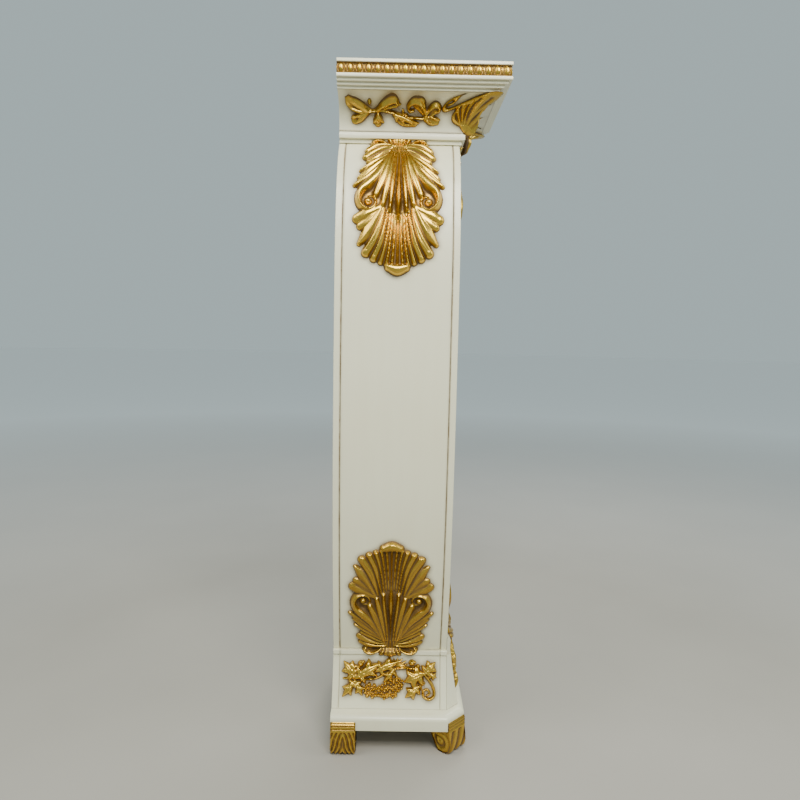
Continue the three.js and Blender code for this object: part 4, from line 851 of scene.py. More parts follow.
LEAF_TALL, LEAF_DRAWN = 262, 266  # height of the upper leaf on the shaft, and as its strokes are drawn
ACANTHUS_ROOT, ACANTHUS_SCALE = NECK_BEAD_BOTTOM - GAP, LEAF_TALL / LEAF_DRAWN
SHELL_ROOT, SHELL_SCALE = LEDGE_BOTTOM + 1, LEAF_TALL / LEAF_DRAWN * 0.93
SCROLL_BACK = 11
PLAQUE_MIDDLE, PLAQUE_FOOT = 96, 93
FRONT_PLAQUE = 146 / 192  # width of the front's plaque as a share of the sides'


def shaft_halo(across, z):
    """Brown glaze on a shaft face: the halo of the upper leaf, or of the lower leaf that stands on its root."""
    leaf = field("acanthus")
    upper = leaf.sample(leaf.halo, across, (ACANTHUS_ROOT - z) / ACANTHUS_SCALE)
    lower = leaf.sample(leaf.halo, across, (z - SHELL_ROOT) / SHELL_SCALE)
    return np.maximum(upper, lower)


def plaque_halo(across, z, stretch=1.0):
    """Brown glaze on the base: the halo of its plaque, drawn together across where it is narrower."""
    made = field("plaque")
    return made.sample(made.halo, across / stretch + PLAQUE_MIDDLE, z - PLAQUE_FOOT)


# ---- shaft and base ----


LEDGE_EASE = 0.8


def side_rows(step):
    """Rows (half width, height, shade) of a side's outline from the plinth to the neck, with the ledge's edges eased,
    and painted shade in its inner corners and where it meets the plinth."""
    base = np.arange(PLINTH_TOP + 1, LEDGE_BOTTOM - 1, step)
    shaft = np.append(np.arange(SHAFT_BOTTOM + 1, SHAFT_TOP - 1, step), SHAFT_TOP)
    # painted shade where the base meets the plinth, under and over the ledge, and at the shaft's foot
    rows = [(base_flare(PLINTH_TOP), PLINTH_TOP, 0.5)]
    rows += [(h, z, 0) for h, z in zip(base_flare(base), base)]
    rows += [(BASE_HEAD_HALF, LEDGE_BOTTOM - 1, 0.05), (BASE_HEAD_HALF, LEDGE_BOTTOM, 0.25)]
    rows += [(LEDGE_HALF - LEDGE_EASE, LEDGE_BOTTOM, 0.05), (LEDGE_HALF, LEDGE_BOTTOM + LEDGE_EASE, 0)]
    rows += [(LEDGE_HALF, SHAFT_BOTTOM - LEDGE_EASE, 0), (LEDGE_HALF - LEDGE_EASE, SHAFT_BOTTOM, 0)]
    rows += [(WAIST_HALF + 1, SHAFT_BOTTOM, 0.1), (WAIST_HALF, SHAFT_BOTTOM, 0.3)]
    rows += [(h, z, 0) for h, z in zip(bow(shaft), shaft)]
    return np.array(rows, float)


def put_board(name, near, far, halo_side, sizes):
    """A flat board with the bowed outline between y = near and y = far. Its section is a rectangle with eased corners
    that scales with the outline's half width; the corners beside the panels get painted shade."""
    step, ease = sizes.panel_step * 1000, sizes.edge_round * 1000
    rows = side_rows(step)
    columns = 56 if halo_side else 12  # across the face
    across = np.linspace(-1, 1, columns)
    edge = np.array([near + ease, *np.linspace(near + 3, far - 3, 2), far - ease])
    share = np.concatenate([across, np.ones(len(edge)), across[::-1], -np.ones(len(edge))])
    shift = np.concatenate([-across * ease, np.zeros(len(edge)), across[::-1] * -ease, np.zeros(len(edge))])
    depth = np.concatenate([np.full(columns, near), edge, np.full(columns, far), edge[::-1]])
    inner = far if near < AXIS_Y else near
    at_edge = np.abs(share) == 1
    # painted shade in the corners beside the panels, fainter on the base
    dark = np.where(at_edge & (np.abs(depth - inner) < ease + 0.01), 1.0, 0.0)
    x = share * rows[:, :1] + shift
    z = np.repeat(rows[:, 1:2], len(share), 1)
    rings = np.stack([x, np.broadcast_to(depth, x.shape), z], -1)
    shades = np.maximum(dark * np.where(z > SHAFT_BOTTOM, 1.0, 0.2), rows[:, 2:3])
    if halo_side:
        face = np.broadcast_to(depth == near, x.shape)
        shades = np.maximum(shades, np.where(face, shaft_halo(x, z), 0))
    return put_loft(name, rings, "ivory_lacquer", shades)


V_GROOVE = 1.5


def put_panel(name, side, rows, halo, sizes):
    """A bent panel behind an outline: its section has a flat face in many columns, eased to a V along both edges, with
    painted shade in the V.
    """
    front, back, cut = FRONT_Y + BOARD + GAP, BACK_Y - BOARD - GAP, V_GROOVE
    step = sizes.panel_step * 1000
    face = np.linspace(front + cut, back - cut, int((back - front) / step))
    depth = np.concatenate([[front, front + cut * 0.5], face, [back - cut * 0.5, back, back, front]])
    inward = np.concatenate([[cut, cut * 0.35], np.zeros(len(face)), [cut * 0.35, cut, PANEL, PANEL]])
    # painted shade in the V grooves and on the hidden back, fainter on the base
    groove = np.concatenate([[0.8, 0.6], [0.2], np.zeros(len(face) - 2), [0.2], [0.6, 0.8, 1, 1]])
    x = side * (rows[:, :1] - inward)
    z = np.repeat(rows[:, 1:2], len(depth), 1)
    y = np.broadcast_to(depth, x.shape)
    groove = groove * np.where(z > SHAFT_BOTTOM, 1.0, 0.25)
    shades = np.maximum(np.maximum(groove, rows[:, 2:3]), np.where(inward == 0, halo(AXIS_Y - y, z), 0))
    return put_loft(name, np.stack([x, y, z], -1), "ivory_lacquer", shades)


def on_side(side, half, across, z, lift, lean=1.0):
    """A point on a side face of that half width as a function of height, pushed out along the face's normal. The
    lean turns that direction from square to the face (1) to level (0)."""
    slope = lean * (half(z + 0.5) - half(z - 0.5))
    length = np.hypot(1, slope)
    return np.stack([side * (half(z) + lift / length), AXIS_Y - across, z - lift * slope / length], -1)


def on_front(out, across, z, lift, lean=1.0):
    """A point on a front face that stands out by a function of height, pushed out along the face's normal."""
    slope = lean * (out(z + 0.5) - out(z - 0.5))
    length = np.hypot(1, slope)
    return np.stack([across, FRONT_Y - out(z) - lift / length, z - lift * slope / length], -1)


def soft_step(x):
    """From 0 to 1 with level ends: 3 x squared minus 2 x cubed."""
    x = unit(x)
    return x * x * (3 - 2 * x)


def step_taken(past):
    """How much of a step in its ground a leaf has taken at a height past it: eased over 8 mm, 6 of them before."""
    return soft_step(past / 8 + 0.75)


def carved_half(z):
    """The side face that the leaves lie on: the bow, eased out over the ledge and the neck band."""
    z = np.asarray(z, float)
    return bow(z) + (LEDGE_HALF - WAIST_HALF) * step_taken(SHAFT_BOTTOM - z) + 4 * step_taken(z - SHAFT_TOP)


def carved_lean(z):
    """Square to the bow along the shaft and level near the ledge and the neck band."""
    return soft_step((z - FLARE_TOP) / 20 + 1) * soft_step((SHAFT_TOP - z) / 20)


def carved_out(z):
    """The front face that the leaves lie on: flat, eased out over the front block and the neck band."""
    z = np.asarray(z, float)
    return front_flare(z) * step_taken(FLARE_TOP - z) + 4 * step_taken(z - SHAFT_TOP)


def front_rise(z):
    """The front's leaves are shallower than the sides' above the front block, as a share of their depth."""
    return 1 - 0.45 * soft_step((np.asarray(z, float) - FLARE_TOP) / 30)


# ---- capital ----


def strip_rings(place, out, z, share):
    """A strip's rings at shares of its way along a side, from the back to the mitred corner, or along the front from
    mitre to mitre. Each ring's points stand out of the neck and lie at heights z, and the length follows them."""
    share = share.reshape(-1, 1)
    if place == "front":
        x = (NECK_HALF + out - GAP / 2) * (2 * share - 1)
        return np.stack(np.broadcast_arrays(x, FRONT_Y - out, z), -1)
    side = -1 if place == "left" else 1
    y = BACK_Y + (FRONT_Y - out + GAP / 2 - BACK_Y) * share
    return np.stack(np.broadcast_arrays(side * (NECK_HALF + out), y, z), -1)


def neck_profile(ease):
    """The bead on its flat band, and the fillet over it, up to the cove."""
    inset, band, bead, fillet, top = -5, 4, 10, 7, COVE_BOTTOM - GAP
    outline = [(inset, SHAFT_TOP + GAP), (band, SHAFT_TOP + GAP), (band, NECK_BEAD_BOTTOM), (bead, NECK_BEAD_BOTTOM),
               (bead, NECK_FILLET_BOTTOM), (fillet, NECK_FILLET_BOTTOM), (fillet, top), (inset, top)]
    return eased(outline, ease)


def cornice_profile(ease):
    """Three steps, each 6.5 out and 5 up, under the fascia."""
    inner, low, top = OVERHANG - 40, COVE_TOP + GAP, EGG_BAND_BOTTOM - GAP
    outline = [(inner, low)]
    for i in (3, 2, 1):
        out, foot = OVERHANG - 6.5 * i, COVE_TOP + 5 * (3 - i)
        outline += [(out, max(foot, low)), (out, foot + 5)]
    outline += [(OVERHANG, FASCIA_BOTTOM), (OVERHANG, top), (inner, top)]
    return eased(outline, ease)


def cove_profile(rows=28):
    """The hollow quarter circle between two level edges, with painted shade at its foot and at its head."""
    turn = np.linspace(0, math.pi / 2, rows)
    out = COVE_TOP_OUT - (COVE_TOP_OUT - COVE_FOOT_OUT) * np.cos(turn)
    z = COVE_BOTTOM + (COVE_TOP - COVE_BOTTOM) * np.sin(turn)
    out = np.concatenate([[-5], out, [-5]])
    z = np.concatenate([[COVE_BOTTOM], z, [COVE_TOP]])
    shades = np.zeros(len(out))
    # painted shade in the corners at the cove's foot and head
    shades[1], shades[-2] = 0.8, 0.8
    return np.stack([out, z], -1), shades


def cove_halo(place, points):
    """Brown glaze on the cove: the halo of its scroll and of the corner leaves."""
    scroll = field("front_scroll" if place == "front" else "scroll")
    leaf = field("corner_leaf")
    z = points[..., 2] - COVE_BOTTOM
    if place == "front":
        along = points[..., 0]
        corner = NECK_HALF + cove_out(points[..., 2]) - np.abs(along)
    else:
        along = BACK_Y - SCROLL_BACK - points[..., 1]
        corner = points[..., 1] - FRONT_Y + cove_out(points[..., 2])
    return np.maximum(scroll.sample(scroll.halo, along, z), leaf.sample(leaf.halo, corner, z))


def cove_point(place, across, b, lift):
    """A point on the cove at height b over its foot, pushed towards the centre of the hollow's circle. Across runs
    from the middle of the shaft to the front on a side, and to the right on the front."""
    share = np.clip(b / (COVE_TOP - COVE_BOTTOM), 0, 0.995)
    out = COVE_TOP_OUT - (COVE_TOP_OUT - COVE_FOOT_OUT) * np.sqrt(1 - share ** 2)
    out, z = out + lift * np.sqrt(1 - share ** 2), COVE_BOTTOM + b - lift * share
    if place == "front":
        return np.stack([across, FRONT_Y - out, z], -1)
    side = -1 if place == "left" else 1
    return np.stack([side * (NECK_HALF + out), AXIS_Y - across, z], -1)


CORNER_TURN, CORNER_LEAN, FRONT_FULLNESS = 14, 13, 15  # width of the turn, lean of the tip, extra on the front half


def corner_point(side, c, b, lift):
    """A point of the leaf round a front corner. The foot lies on the cove at a distance c along one face (c < 0 on
    the side, c > 0 on the front); towards its tip the leaf leans out of the corner by the square of its height, and
    its front half is fuller and hangs lower."""
    share = np.clip(b / (COVE_TOP - COVE_BOTTOM), 0, 0.995)
    out = COVE_TOP_OUT - (COVE_TOP_OUT - COVE_FOOT_OUT) * np.sqrt(1 - share ** 2)
    turn = soft_step(c / CORNER_TURN + 0.5) * math.pi / 2
    is_face = lift > FLOOR - 0.1
    lean = CORNER_LEAN * share ** 2 * np.exp(-(c / 20) ** 2) * is_face
    front = soft_step((c - 1) / 9) * is_face
    rise = lift + lean + front * FRONT_FULLNESS * soft_step(b / 14) * (1 - soft_step((b - 22) / 24))
    x = NECK_HALF + out - np.maximum(c, 0) + rise * np.cos(turn)
    y = FRONT_Y - out + np.maximum(-c, 0) - rise * np.sin(turn)
    z = COVE_BOTTOM + b - np.maximum(lift, 0) * 0.5 * share - front * FRONT_FULLNESS * (1 - soft_step(b / 34))
    return np.stack([side * x, y, np.minimum(z, COVE_TOP - 1)], -1)


EGG_GROUND = OVERHANG - 4.2
EGG_RISE, COLLAR_RISE, DART_RISE, RIM_RISE = 4.1, 1.6, 2.6, 2.8
EGG_HALF, COLLAR_HALF, DART_HALF = (0.27, 8.6), (0.41, 9.3), (0.08, 7.0)  # width by the pitch, height in millimetres


def dome(x, y=0):
    """A half ball over distances that are 1 at its edge."""
    return np.sqrt(unit(1 - x ** 2 - y ** 2))


def egg_row(place, sizes):
    """A row of eggs in collars with darts between them under a thin rim above and below: the height over the ground
    is the largest of a row of domes, rings round them, narrow domes half a pitch on, and the two rims."""
    fine, pitch = sizes.fine_step * 1000, sizes.egg_pitch * 1000
    low, high = EGG_BAND_BOTTOM, TOP_EDGE_BOTTOM - GAP
    length = 2 * (NECK_HALF + OVERHANG) if place == "front" else BACK_Y - FRONT_Y + OVERHANG
    share = np.linspace(0, 1, int(length / fine))[:, None]
    z = np.linspace(low, high, int((high - low) / fine))[None, :]
    phase = share * round(length / pitch)
    beside, above = (phase - np.floor(phase) - 0.5) * pitch, z - (low + high) / 2
    egg = dome(beside / (pitch * EGG_HALF[0]), above / EGG_HALF[1])
    ring = np.hypot(beside / (pitch * COLLAR_HALF[0]), above / COLLAR_HALF[1])
    collar = unit(1 - np.abs(ring - 1) / 0.1) ** 0.5
    dart = dome(np.abs(np.abs(beside) - pitch / 2) / (pitch * DART_HALF[0]), above / DART_HALF[1])
    rim = np.maximum(dome((z - low - 0.7) / 0.9), dome((z - high + 0.7) / 0.9)) * np.ones_like(share)
    rise = np.maximum.reduce([EGG_RISE * egg, COLLAR_RISE * collar, DART_RISE * dart, RIM_RISE * rim])
    # two more columns close the strip behind, above and below
    behind = np.full((len(share), 2), OVERHANG - 7 + GAP)
    out = np.hstack([EGG_GROUND + rise, behind])
    heights = np.append(z, [high, low])
    # painted shade, deepest low between the eggs
    shades = np.hstack([unit(0.95 - rise / 4.4), np.ones_like(behind)])
    put_loft(f"egg_row_{place}", strip_rings(place, out, heights, share), "gold_leaf", shades, 80, f"egg_band_{place}")


def sheet_rings(plan, levels):
    """Rings of a flat board: its plan drawn in by each level's inset. Levels are (inset, height, shade)."""
    rings = [np.column_stack([plan(inset), np.full(len(plan(inset)), z)]) for inset, z, _ in levels]
    shades = [np.full(len(ring), shade) for ring, (_, _, shade) in zip(rings, levels)]
    return np.array(rings), np.array(shades)


def round_plan(corners, radius=1.5, steps=4):
    """A convex plan with each corner rounded by an arc that touches both edges at the radius' distance."""
    corners = np.asarray(corners, float)
    points = []
    for here, prior, following in zip(corners, np.roll(corners, 1, 0), np.roll(corners, -1, 0)):
        back = (prior - here) / np.hypot(*(prior - here))
        ahead = (following - here) / np.hypot(*(following - here))
        for t in np.linspace(0, 1, steps):
            points.append(here + back * radius * (1 - t) ** 2 + ahead * radius * t ** 2)
    return np.array(points)


def plinth_plan(inset):
    """The plinth's plan, drawn in by the inset, with its front corners cut at 45 degrees."""
    half, front = PLINTH_HALF - inset, BACK_Y - PLINTH_DEPTH + inset
    cut = PLINTH_CUT - inset * (2 - math.sqrt(2))
    left = [(-half, BACK_Y), (-half, front + cut), (cut - half, front)]
    return round_plan(left + [(-x, y) for x, y in left[::-1]])


def top_plan(inset):
    """The top board's plan, drawn in by the inset at the front and the sides."""
    half = NECK_HALF + OVERHANG - inset
    front = FRONT_Y - OVERHANG + inset
    return round_plan([(-half, BACK_Y), (-half, front), (half, front), (half, BACK_Y)], 1.0)


# ---- feet ----


FOOT_PLATE = 18  # how far a foot laps up over the plinth's face


def foot_outline(length, is_scroll, count=44):
    """A foot's outline in its own upright plane, evenly spread, from the inner top round the toe and up to the plate
    that laps over the plinth's face. The toe and the scroll's hollow are cubic curves between their end points."""
    top, plate = PLINTH_BOTTOM - GAP, PLINTH_BOTTOM + FOOT_PLATE
    face, out = length + GAP, length + 5

    def cubic(a, b, c, d, steps=24):
        """Points of the cubic curve from a to d that leaves towards b and comes in from c."""
        t = np.linspace(0, 1, steps)[:, None]
        a, b, c, d = (np.array(p, float) for p in (a, b, c, d))
        return a * (1 - t) ** 3 + 3 * b * t * (1 - t) ** 2 + 3 * c * t ** 2 * (1 - t) + d * t ** 3

    if is_scroll:
        start = cubic((0, top), (length * 0.3, top * 0.95), (length * 0.42, top * 0.4), (length * 0.66, 0))
    else:
        start = cubic((0, top), (0, top * 0.6), (0, top * 0.3), (0, 0))
    toe = cubic((length * 0.84, 0), (out - 2, 0), (out + 2, top * 0.2), (out + 2, top * 0.45))
    heel = cubic((out + 2, top * 0.45), (out + 2, top * 0.8), (out - 2, top * 0.85), (out - 1, plate - 6))
    lip = cubic((out - 1, plate - 6), (out - 1, plate - 1), (out - 2, plate), (face, plate), 8)
    path = np.vstack([start, toe, heel[1:], lip[1:], [(face, top)]])
    walked = np.concatenate([[0], np.cumsum(np.hypot(*np.diff(path, axis=0).T))])
    even = np.linspace(0, walked[-1], count * 2)
    return np.stack([np.interp(even, walked, path[:, 0]), np.interp(even, walked, path[:, 1])], -1)


def foot_cheek(outline, eye, sign, share):
    """A ring of a foot's cheek and its shades: the outline drawn in to a share of its distance from the eye, and
    raised in a spiral round the eye with a button in the middle."""
    points = eye + (outline - eye) * share
    arm = points - eye
    far, turn = np.hypot(*arm.T), np.arctan2(arm[:, 1], arm[:, 0])
    spiral = np.cos(turn + far * 0.42) * unit(far / 6) * unit((24 - far) / 8)
    rise = 1.4 * spiral * (share < 0.97) + 1.8 * np.exp(-(far / 3.5) ** 2)
    wide = FOOT_WIDTH / 2 - 2.2 + rise - 0.8 * (share > 0.95)
    # painted shade: darker where the spiral is low and at the rim
    return np.stack([points[:, 0], sign * wide, points[:, 1]], -1), unit(0.35 - 0.4 * rise + (share > 0.93) * 0.1)


def foot_carving(across, climb, is_scroll):
    """Height of the carving on a foot's outer face at one place across and all the way up: slanting flutes on the
    scroll foot, nested V leaves on the square foot, and beads on the plate over the plinth's face."""
    if is_scroll:
        depth = 1.5 * np.cos((across + 0.4 * climb) / (FOOT_WIDTH / 2) * math.pi * 2.6) - 0.6
    else:
        vee = climb * 0.45 - 8 + abs(across) * 1.1 + 2.2 * np.sin(climb / 8)
        depth = 1.6 * np.cos(vee / 9.5 * 2 * math.pi) - 0.5 + 0.6 * np.cos(across * 0.9) * np.cos(climb / 4)
    beads = 1.2 * np.cos((climb - PLINTH_BOTTOM) / 6.5 * 2 * math.pi) - 0.4
    return np.where(climb > PLINTH_BOTTOM - 2, beads, depth)


def foot_rings(length, is_scroll):
    """A carved foot as a loft across its width: the outline, pushed out or in by the carving of its outer face, and
    closed on both cheeks by rings that shrink to the scroll's eye. Gives the rings and their shades."""
    outline = foot_outline(length, is_scroll)
    half, climb = FOOT_WIDTH / 2, outline[:, 1]
    tangent = np.roll(outline, -1, 0) - np.roll(outline, 1, 0)
    normal = np.stack([tangent[:, 1], -tangent[:, 0]], -1)
    normal /= np.maximum(np.hypot(*normal.T), 1e-6)[:, None]
    outer = soft_step((outline[:, 0] - length * 0.8) / (length * 0.14)) * (climb < PLINTH_BOTTOM + FOOT_PLATE - 0.5)
    touches_plinth = (outline[:, 0] < length + GAP + 0.1) & (climb > PLINTH_BOTTOM - GAP - 0.5)
    outer = np.where(touches_plinth, 0, outer)
    eye = np.array([length * 0.74, PLINTH_BOTTOM * 0.45])
    shrinks = np.linspace(0.06, 1, 22)
    made = [foot_cheek(outline, eye, -1, share) for share in shrinks]
    for across in np.linspace(-half + 0.6, half - 0.6, 46):
        share, height = abs(across) / half, foot_carving(across, climb, is_scroll)
        push = (height - 1.8 * soft_step((share - 0.86) / 0.14)) * outer
        points = outline + normal * push[:, None]
        ring = np.stack([points[:, 0], np.full(len(points), across), points[:, 1]], -1)
        # painted shade: darker where the carving is low and at the edges
        made.append((ring, unit(0.32 - 0.34 * height + 0.3 * (share > 0.97))))
    made += [foot_cheek(outline, eye, 1, share) for share in shrinks[::-1]]
    rings, shades = (np.array(part) for part in zip(*made))
    rings[..., 2] = np.maximum(rings[..., 2], 0)
    body = rings[..., 0] <= length + GAP
    rings[..., 2] = np.where(body, np.minimum(rings[..., 2], PLINTH_BOTTOM + FOOT_PLATE), rings[..., 2])
    return rings, shades


# ---- operators, one for each piece or group of like pieces ----


class StandOperator:
    """What the operators share: each builds its pieces at the chosen sizes."""

    bl_options = {"REGISTER", "UNDO"}

    def execute(self, context):
        self.build(context.scene.stand_sizes)
        return {"FINISHED"}


class STAND_OT_boards(StandOperator, bpy.types.Operator):
    """Front and back boards with the bowed outline"""

    bl_idname = "stand.boards"
    bl_label = "Front and Back Boards"

    def build(self, sizes):
        put_board("front_board", FRONT_Y, FRONT_Y + BOARD, True, sizes)
        put_board("back_board", BACK_Y - BOARD, BACK_Y, False, sizes)


class STAND_OT_panels(StandOperator, bpy.types.Operator):
    """Bent side panels of the shaft and of the base, let in behind V grooves"""

    bl_idname = "stand.panels"
    bl_label = "Side Panels"

    def build(self, sizes):
        step = sizes.panel_step * 1000
        rows = side_rows(step)
        shaft = rows[rows[:, 1] > SHAFT_BOTTOM + 0.5]
        # painted shade where the shaft panel stands on the ledge and where the base panel meets it
        shaft = np.vstack([[WAIST_HALF, SHAFT_BOTTOM, 0.8], shaft])
        base = rows[rows[:, 1] < SHAFT_BOTTOM - 0.5]
        base = np.vstack([base, [LEDGE_HALF - LEDGE_EASE, SHAFT_BOTTOM - GAP, 0.3]])
        for side, word in SIDES:
            put_panel(f"side_panel_{word}", side, shaft, shaft_halo, sizes)
            put_panel(f"base_panel_{word}", side, base, plaque_halo, sizes)


class STAND_OT_front_block(StandOperator, bpy.types.Operator):
    """Block that swells out of the front board at its foot, its ends cut back at 45 degrees"""

    bl_idname = "stand.front_block"
    bl_label = "Front Block"

    def build(self, sizes):
        flare = np.arange(PLINTH_TOP + 4, LEDGE_BOTTOM - 2, 3)
        low = [PLINTH_TOP, PLINTH_TOP + 1, *flare, LEDGE_BOTTOM - 1, LEDGE_BOTTOM]
        high = [LEDGE_BOTTOM, SHAFT_BOTTOM, SHAFT_BOTTOM + 4, 196, FLARE_SHOULDER, 206, 210, FLARE_TOP]
        z = np.array(low + high, float)
        # painted shade at the joints with the plinth and the ledge, and at the top of the flare
        shade = np.zeros(len(z))
        shade[[0, len(low) - 1, len(low), -1]] = 0.7, 0.4, 0.4, 0.5
        across = np.linspace(-1, 1, 52)
        half = np.concatenate([base_flare(low), bow(high)])[:, None]
        out, z = front_flare(z)[:, None], z[:, None]
        x = np.hstack([across * (half - out), half, -half])
        y = np.hstack([np.broadcast_to(FRONT_Y - out, (len(z), len(across))), np.full((len(z), 2), FRONT_Y - GAP)])
        heights = np.broadcast_to(z, x.shape)
        glaze = np.maximum(plaque_halo(x, heights, FRONT_PLAQUE), shaft_halo(x, heights))
        shades = np.maximum(glaze, shade[:, None])
        put_loft("base_front_block", np.stack([x, y, heights], -1), "ivory_lacquer", shades)


class STAND_OT_plinth(StandOperator, bpy.types.Operator):
    """Plinth board with a rounded top edge and cut front corners"""

    bl_idname = "stand.plinth"
    bl_label = "Plinth"

    def build(self, sizes):
        ease, round_in, round_down = 0.8, 12, 10
        # painted shade along the plinth's foot
        levels = [(ease, PLINTH_BOTTOM, 0.6), (0, PLINTH_BOTTOM + ease, 0)]
        for turn in np.linspace(0, math.pi / 2, 9):
            drop = round_down * (1 - math.sin(turn))
            levels.append((round_in * (1 - math.cos(turn)), PLINTH_TOP - GAP - drop, 0))
        rings, shades = sheet_rings(plinth_plan, levels)
        rings[..., 1] = np.minimum(rings[..., 1], BACK_Y)
        put_loft("plinth_board", rings, "ivory_lacquer", shades)


class STAND_OT_capital(StandOperator, bpy.types.Operator):
    """Neck mouldings, coves, stepped cornice and the top board"""

    bl_idname = "stand.capital"
    bl_label = "Capital"

    def build(self, sizes):
        ease = sizes.edge_round * 1000
        strips = (("neck_moulding", neck_profile(ease), 24), ("cove", cove_profile(), 110),
                  ("cornice", cornice_profile(ease), 24))
        for place in PLACES:
            for name, (profile, shades), count in strips:
                rings = strip_rings(place, profile[:, 0], profile[:, 1], np.linspace(0, 1, count))
                # painted shade in the strips' inner corners, with the glaze round the carvings on the cove
                glaze = np.broadcast_to(shades, rings.shape[:2])
                if name == "cove":
                    glaze = np.maximum(glaze, cove_halo(place, rings))
                put_loft(f"{name}_{place}", rings, "ivory_lacquer", glaze)
        edge, bevel = 7, 1.2
        # painted shade under the top board where it overhangs the egg rows
        levels = [(edge, EGG_BAND_BOTTOM, 0), (edge, TOP_EDGE_BOTTOM, 0.6), (ease, TOP_EDGE_BOTTOM, 0.2),
                  (0, TOP_EDGE_BOTTOM + ease, 0), (0, TOP - bevel, 0), (0.35, TOP - 0.35, 0), (bevel, TOP, 0)]
        rings, shades = sheet_rings(top_plan, levels)
        put_loft("top_board", rings, "ivory_lacquer", shades)


class STAND_OT_egg_rows(StandOperator, bpy.types.Operator):
    """Gilt egg-and-dart rows under the top board"""

    bl_idname = "stand.egg_rows"
    bl_label = "Egg Rows"

    def build(self, sizes):
        for place in PLACES:
            egg_row(place, sizes)


class STAND_OT_shaft_leaves(StandOperator, bpy.types.Operator):
    """Upper acanthus leaves and lower shell leaves of the three decorated faces"""

    bl_idname = "stand.shaft_leaves"
    bl_label = "Shaft Leaves"

    def build(self, sizes):
        leaf = field("acanthus")
        # the lower shell leaves get 0.38 more painted shade, as they face down and catch less light
        leaves = ("acanthus", ACANTHUS_ROOT, -ACANTHUS_SCALE, 1.0, 0), ("shell", SHELL_ROOT, SHELL_SCALE, 0.8, 0.38)
        for name, root, scale, rise, tone in leaves:
            for side, word in SIDES:
                def on_panel(u, v, lift, side=side, root=root, scale=scale, rise=rise):
                    z = root + scale * v
                    return on_side(side, carved_half, u, z, np.where(lift > 0, lift * rise, lift), carved_lean(z))
                put_carving(f"{name}_{word}", leaf, on_panel, tone)

            def on_board(u, v, lift, root=root, scale=scale, rise=rise):
                z = root + scale * v
                return on_front(carved_out, u, z, np.where(lift > 0, lift * rise * front_rise(z), lift), 0)
            put_carving(f"{name}_front", leaf, on_board, tone)


class STAND_OT_scrolls(StandOperator, bpy.types.Operator):
    """Leaf scrolls that run along the coves"""

    bl_idname = "stand.scrolls"
    bl_label = "Capital Scrolls"

    def build(self, sizes):
        for word in PLACES:
            shift = 0 if word == "front" else BACK_Y - SCROLL_BACK - AXIS_Y

            def on_cove(u, v, lift, word=word, shift=shift):
                return cove_point(word, u - shift, v, lift)
            made = field("front_scroll" if word == "front" else "scroll")
            put_carving(f"capital_scroll_{word}", made, on_cove)


class STAND_OT_corner_leaves(StandOperator, bpy.types.Operator):
    """Leaves that wrap the front corners of the capital"""

    bl_idname = "stand.corner_leaves"
    bl_label = "Corner Leaves"

    def build(self, sizes):
        for side, word in SIDES:
            def on_corner(u, v, lift, side=side):
                return corner_point(side, u, v, lift)
            put_carving(f"corner_leaf_{word}", field("corner_leaf"), on_corner)


class STAND_OT_plaques(StandOperator, bpy.types.Operator):
    """Grape-vine plaques on the base"""

    bl_idname = "stand.plaques"
    bl_label = "Vine Plaques"

    def build(self, sizes):
        made = field("plaque")
        for side, word in SIDES:
            def on_base(u, v, lift, side=side):
                return on_side(side, base_flare, u - PLAQUE_MIDDLE, v + PLAQUE_FOOT, lift)
            put_carving(f"vine_plaque_{word}", made, on_base)

        def on_block(u, v, lift):
            return on_front(front_flare, (u - PLAQUE_MIDDLE) * FRONT_PLAQUE, v + PLAQUE_FOOT, lift)
        put_carving("vine_plaque_front", made, on_block)


class STAND_OT_feet(StandOperator, bpy.types.Operator):
    """Square carved back feet and scrolled diagonal front feet"""

    bl_idname = "stand.feet"
    bl_label = "Feet"

    def build(self, sizes):
        corner = np.array([PLINTH_HALF - PLINTH_CUT / 2, BACK_Y - PLINTH_DEPTH + PLINTH_CUT / 2])
        for name, length, is_scroll in (("foot_back", BACK_FOOT, False), ("foot_front", FRONT_FOOT, True)):
            rings, shades = foot_rings(length, is_scroll)
            for side, word in SIDES:
                if is_scroll:
                    turn, start = -math.pi / 4, corner - np.array([1, -1]) * length / math.sqrt(2)
                else:
                    turn, start = 0, np.array([PLINTH_HALF - length, BACK_Y - FOOT_WIDTH / 2])
                x = start[0] + rings[..., 0] * math.cos(turn) - rings[..., 1] * math.sin(turn)
                y = start[1] + rings[..., 0] * math.sin(turn) + rings[..., 1] * math.cos(turn)
                y = np.minimum(y, BACK_Y)
                placed = np.stack([side * x, y, rings[..., 2]], -1)
                put_loft(f"{name}_{word}", placed, "gold_leaf", shades, 75)


class STAND_OT_inner_parts(StandOperator, bpy.types.Operator):
    """Finishes of the frame's own parts: the capital's cores, the inner blocks and the screws"""

    bl_idname = "stand.inner_parts"
    bl_label = "Inner Parts"

    def build(self, sizes):
        slots = {part["node"]: part["material_slot"] for part in frame["record"]["subparts"]}
        for node, part in frame["nodes"].items():
            part.data.materials.clear()
            part.data.materials.append(finish(slots[node]))


class STAND_OT_stage(StandOperator, bpy.types.Operator):
    """Plain floor, soft lights and the camera"""

    bl_idname = "stand.stage"
    bl_label = "Stage"

    def execute(self, context):
        stage = context.scene.stand_stage
        put_floor(stage)
        put_lights(stage)
        put_camera(stage)
        return {"FINISHED"}


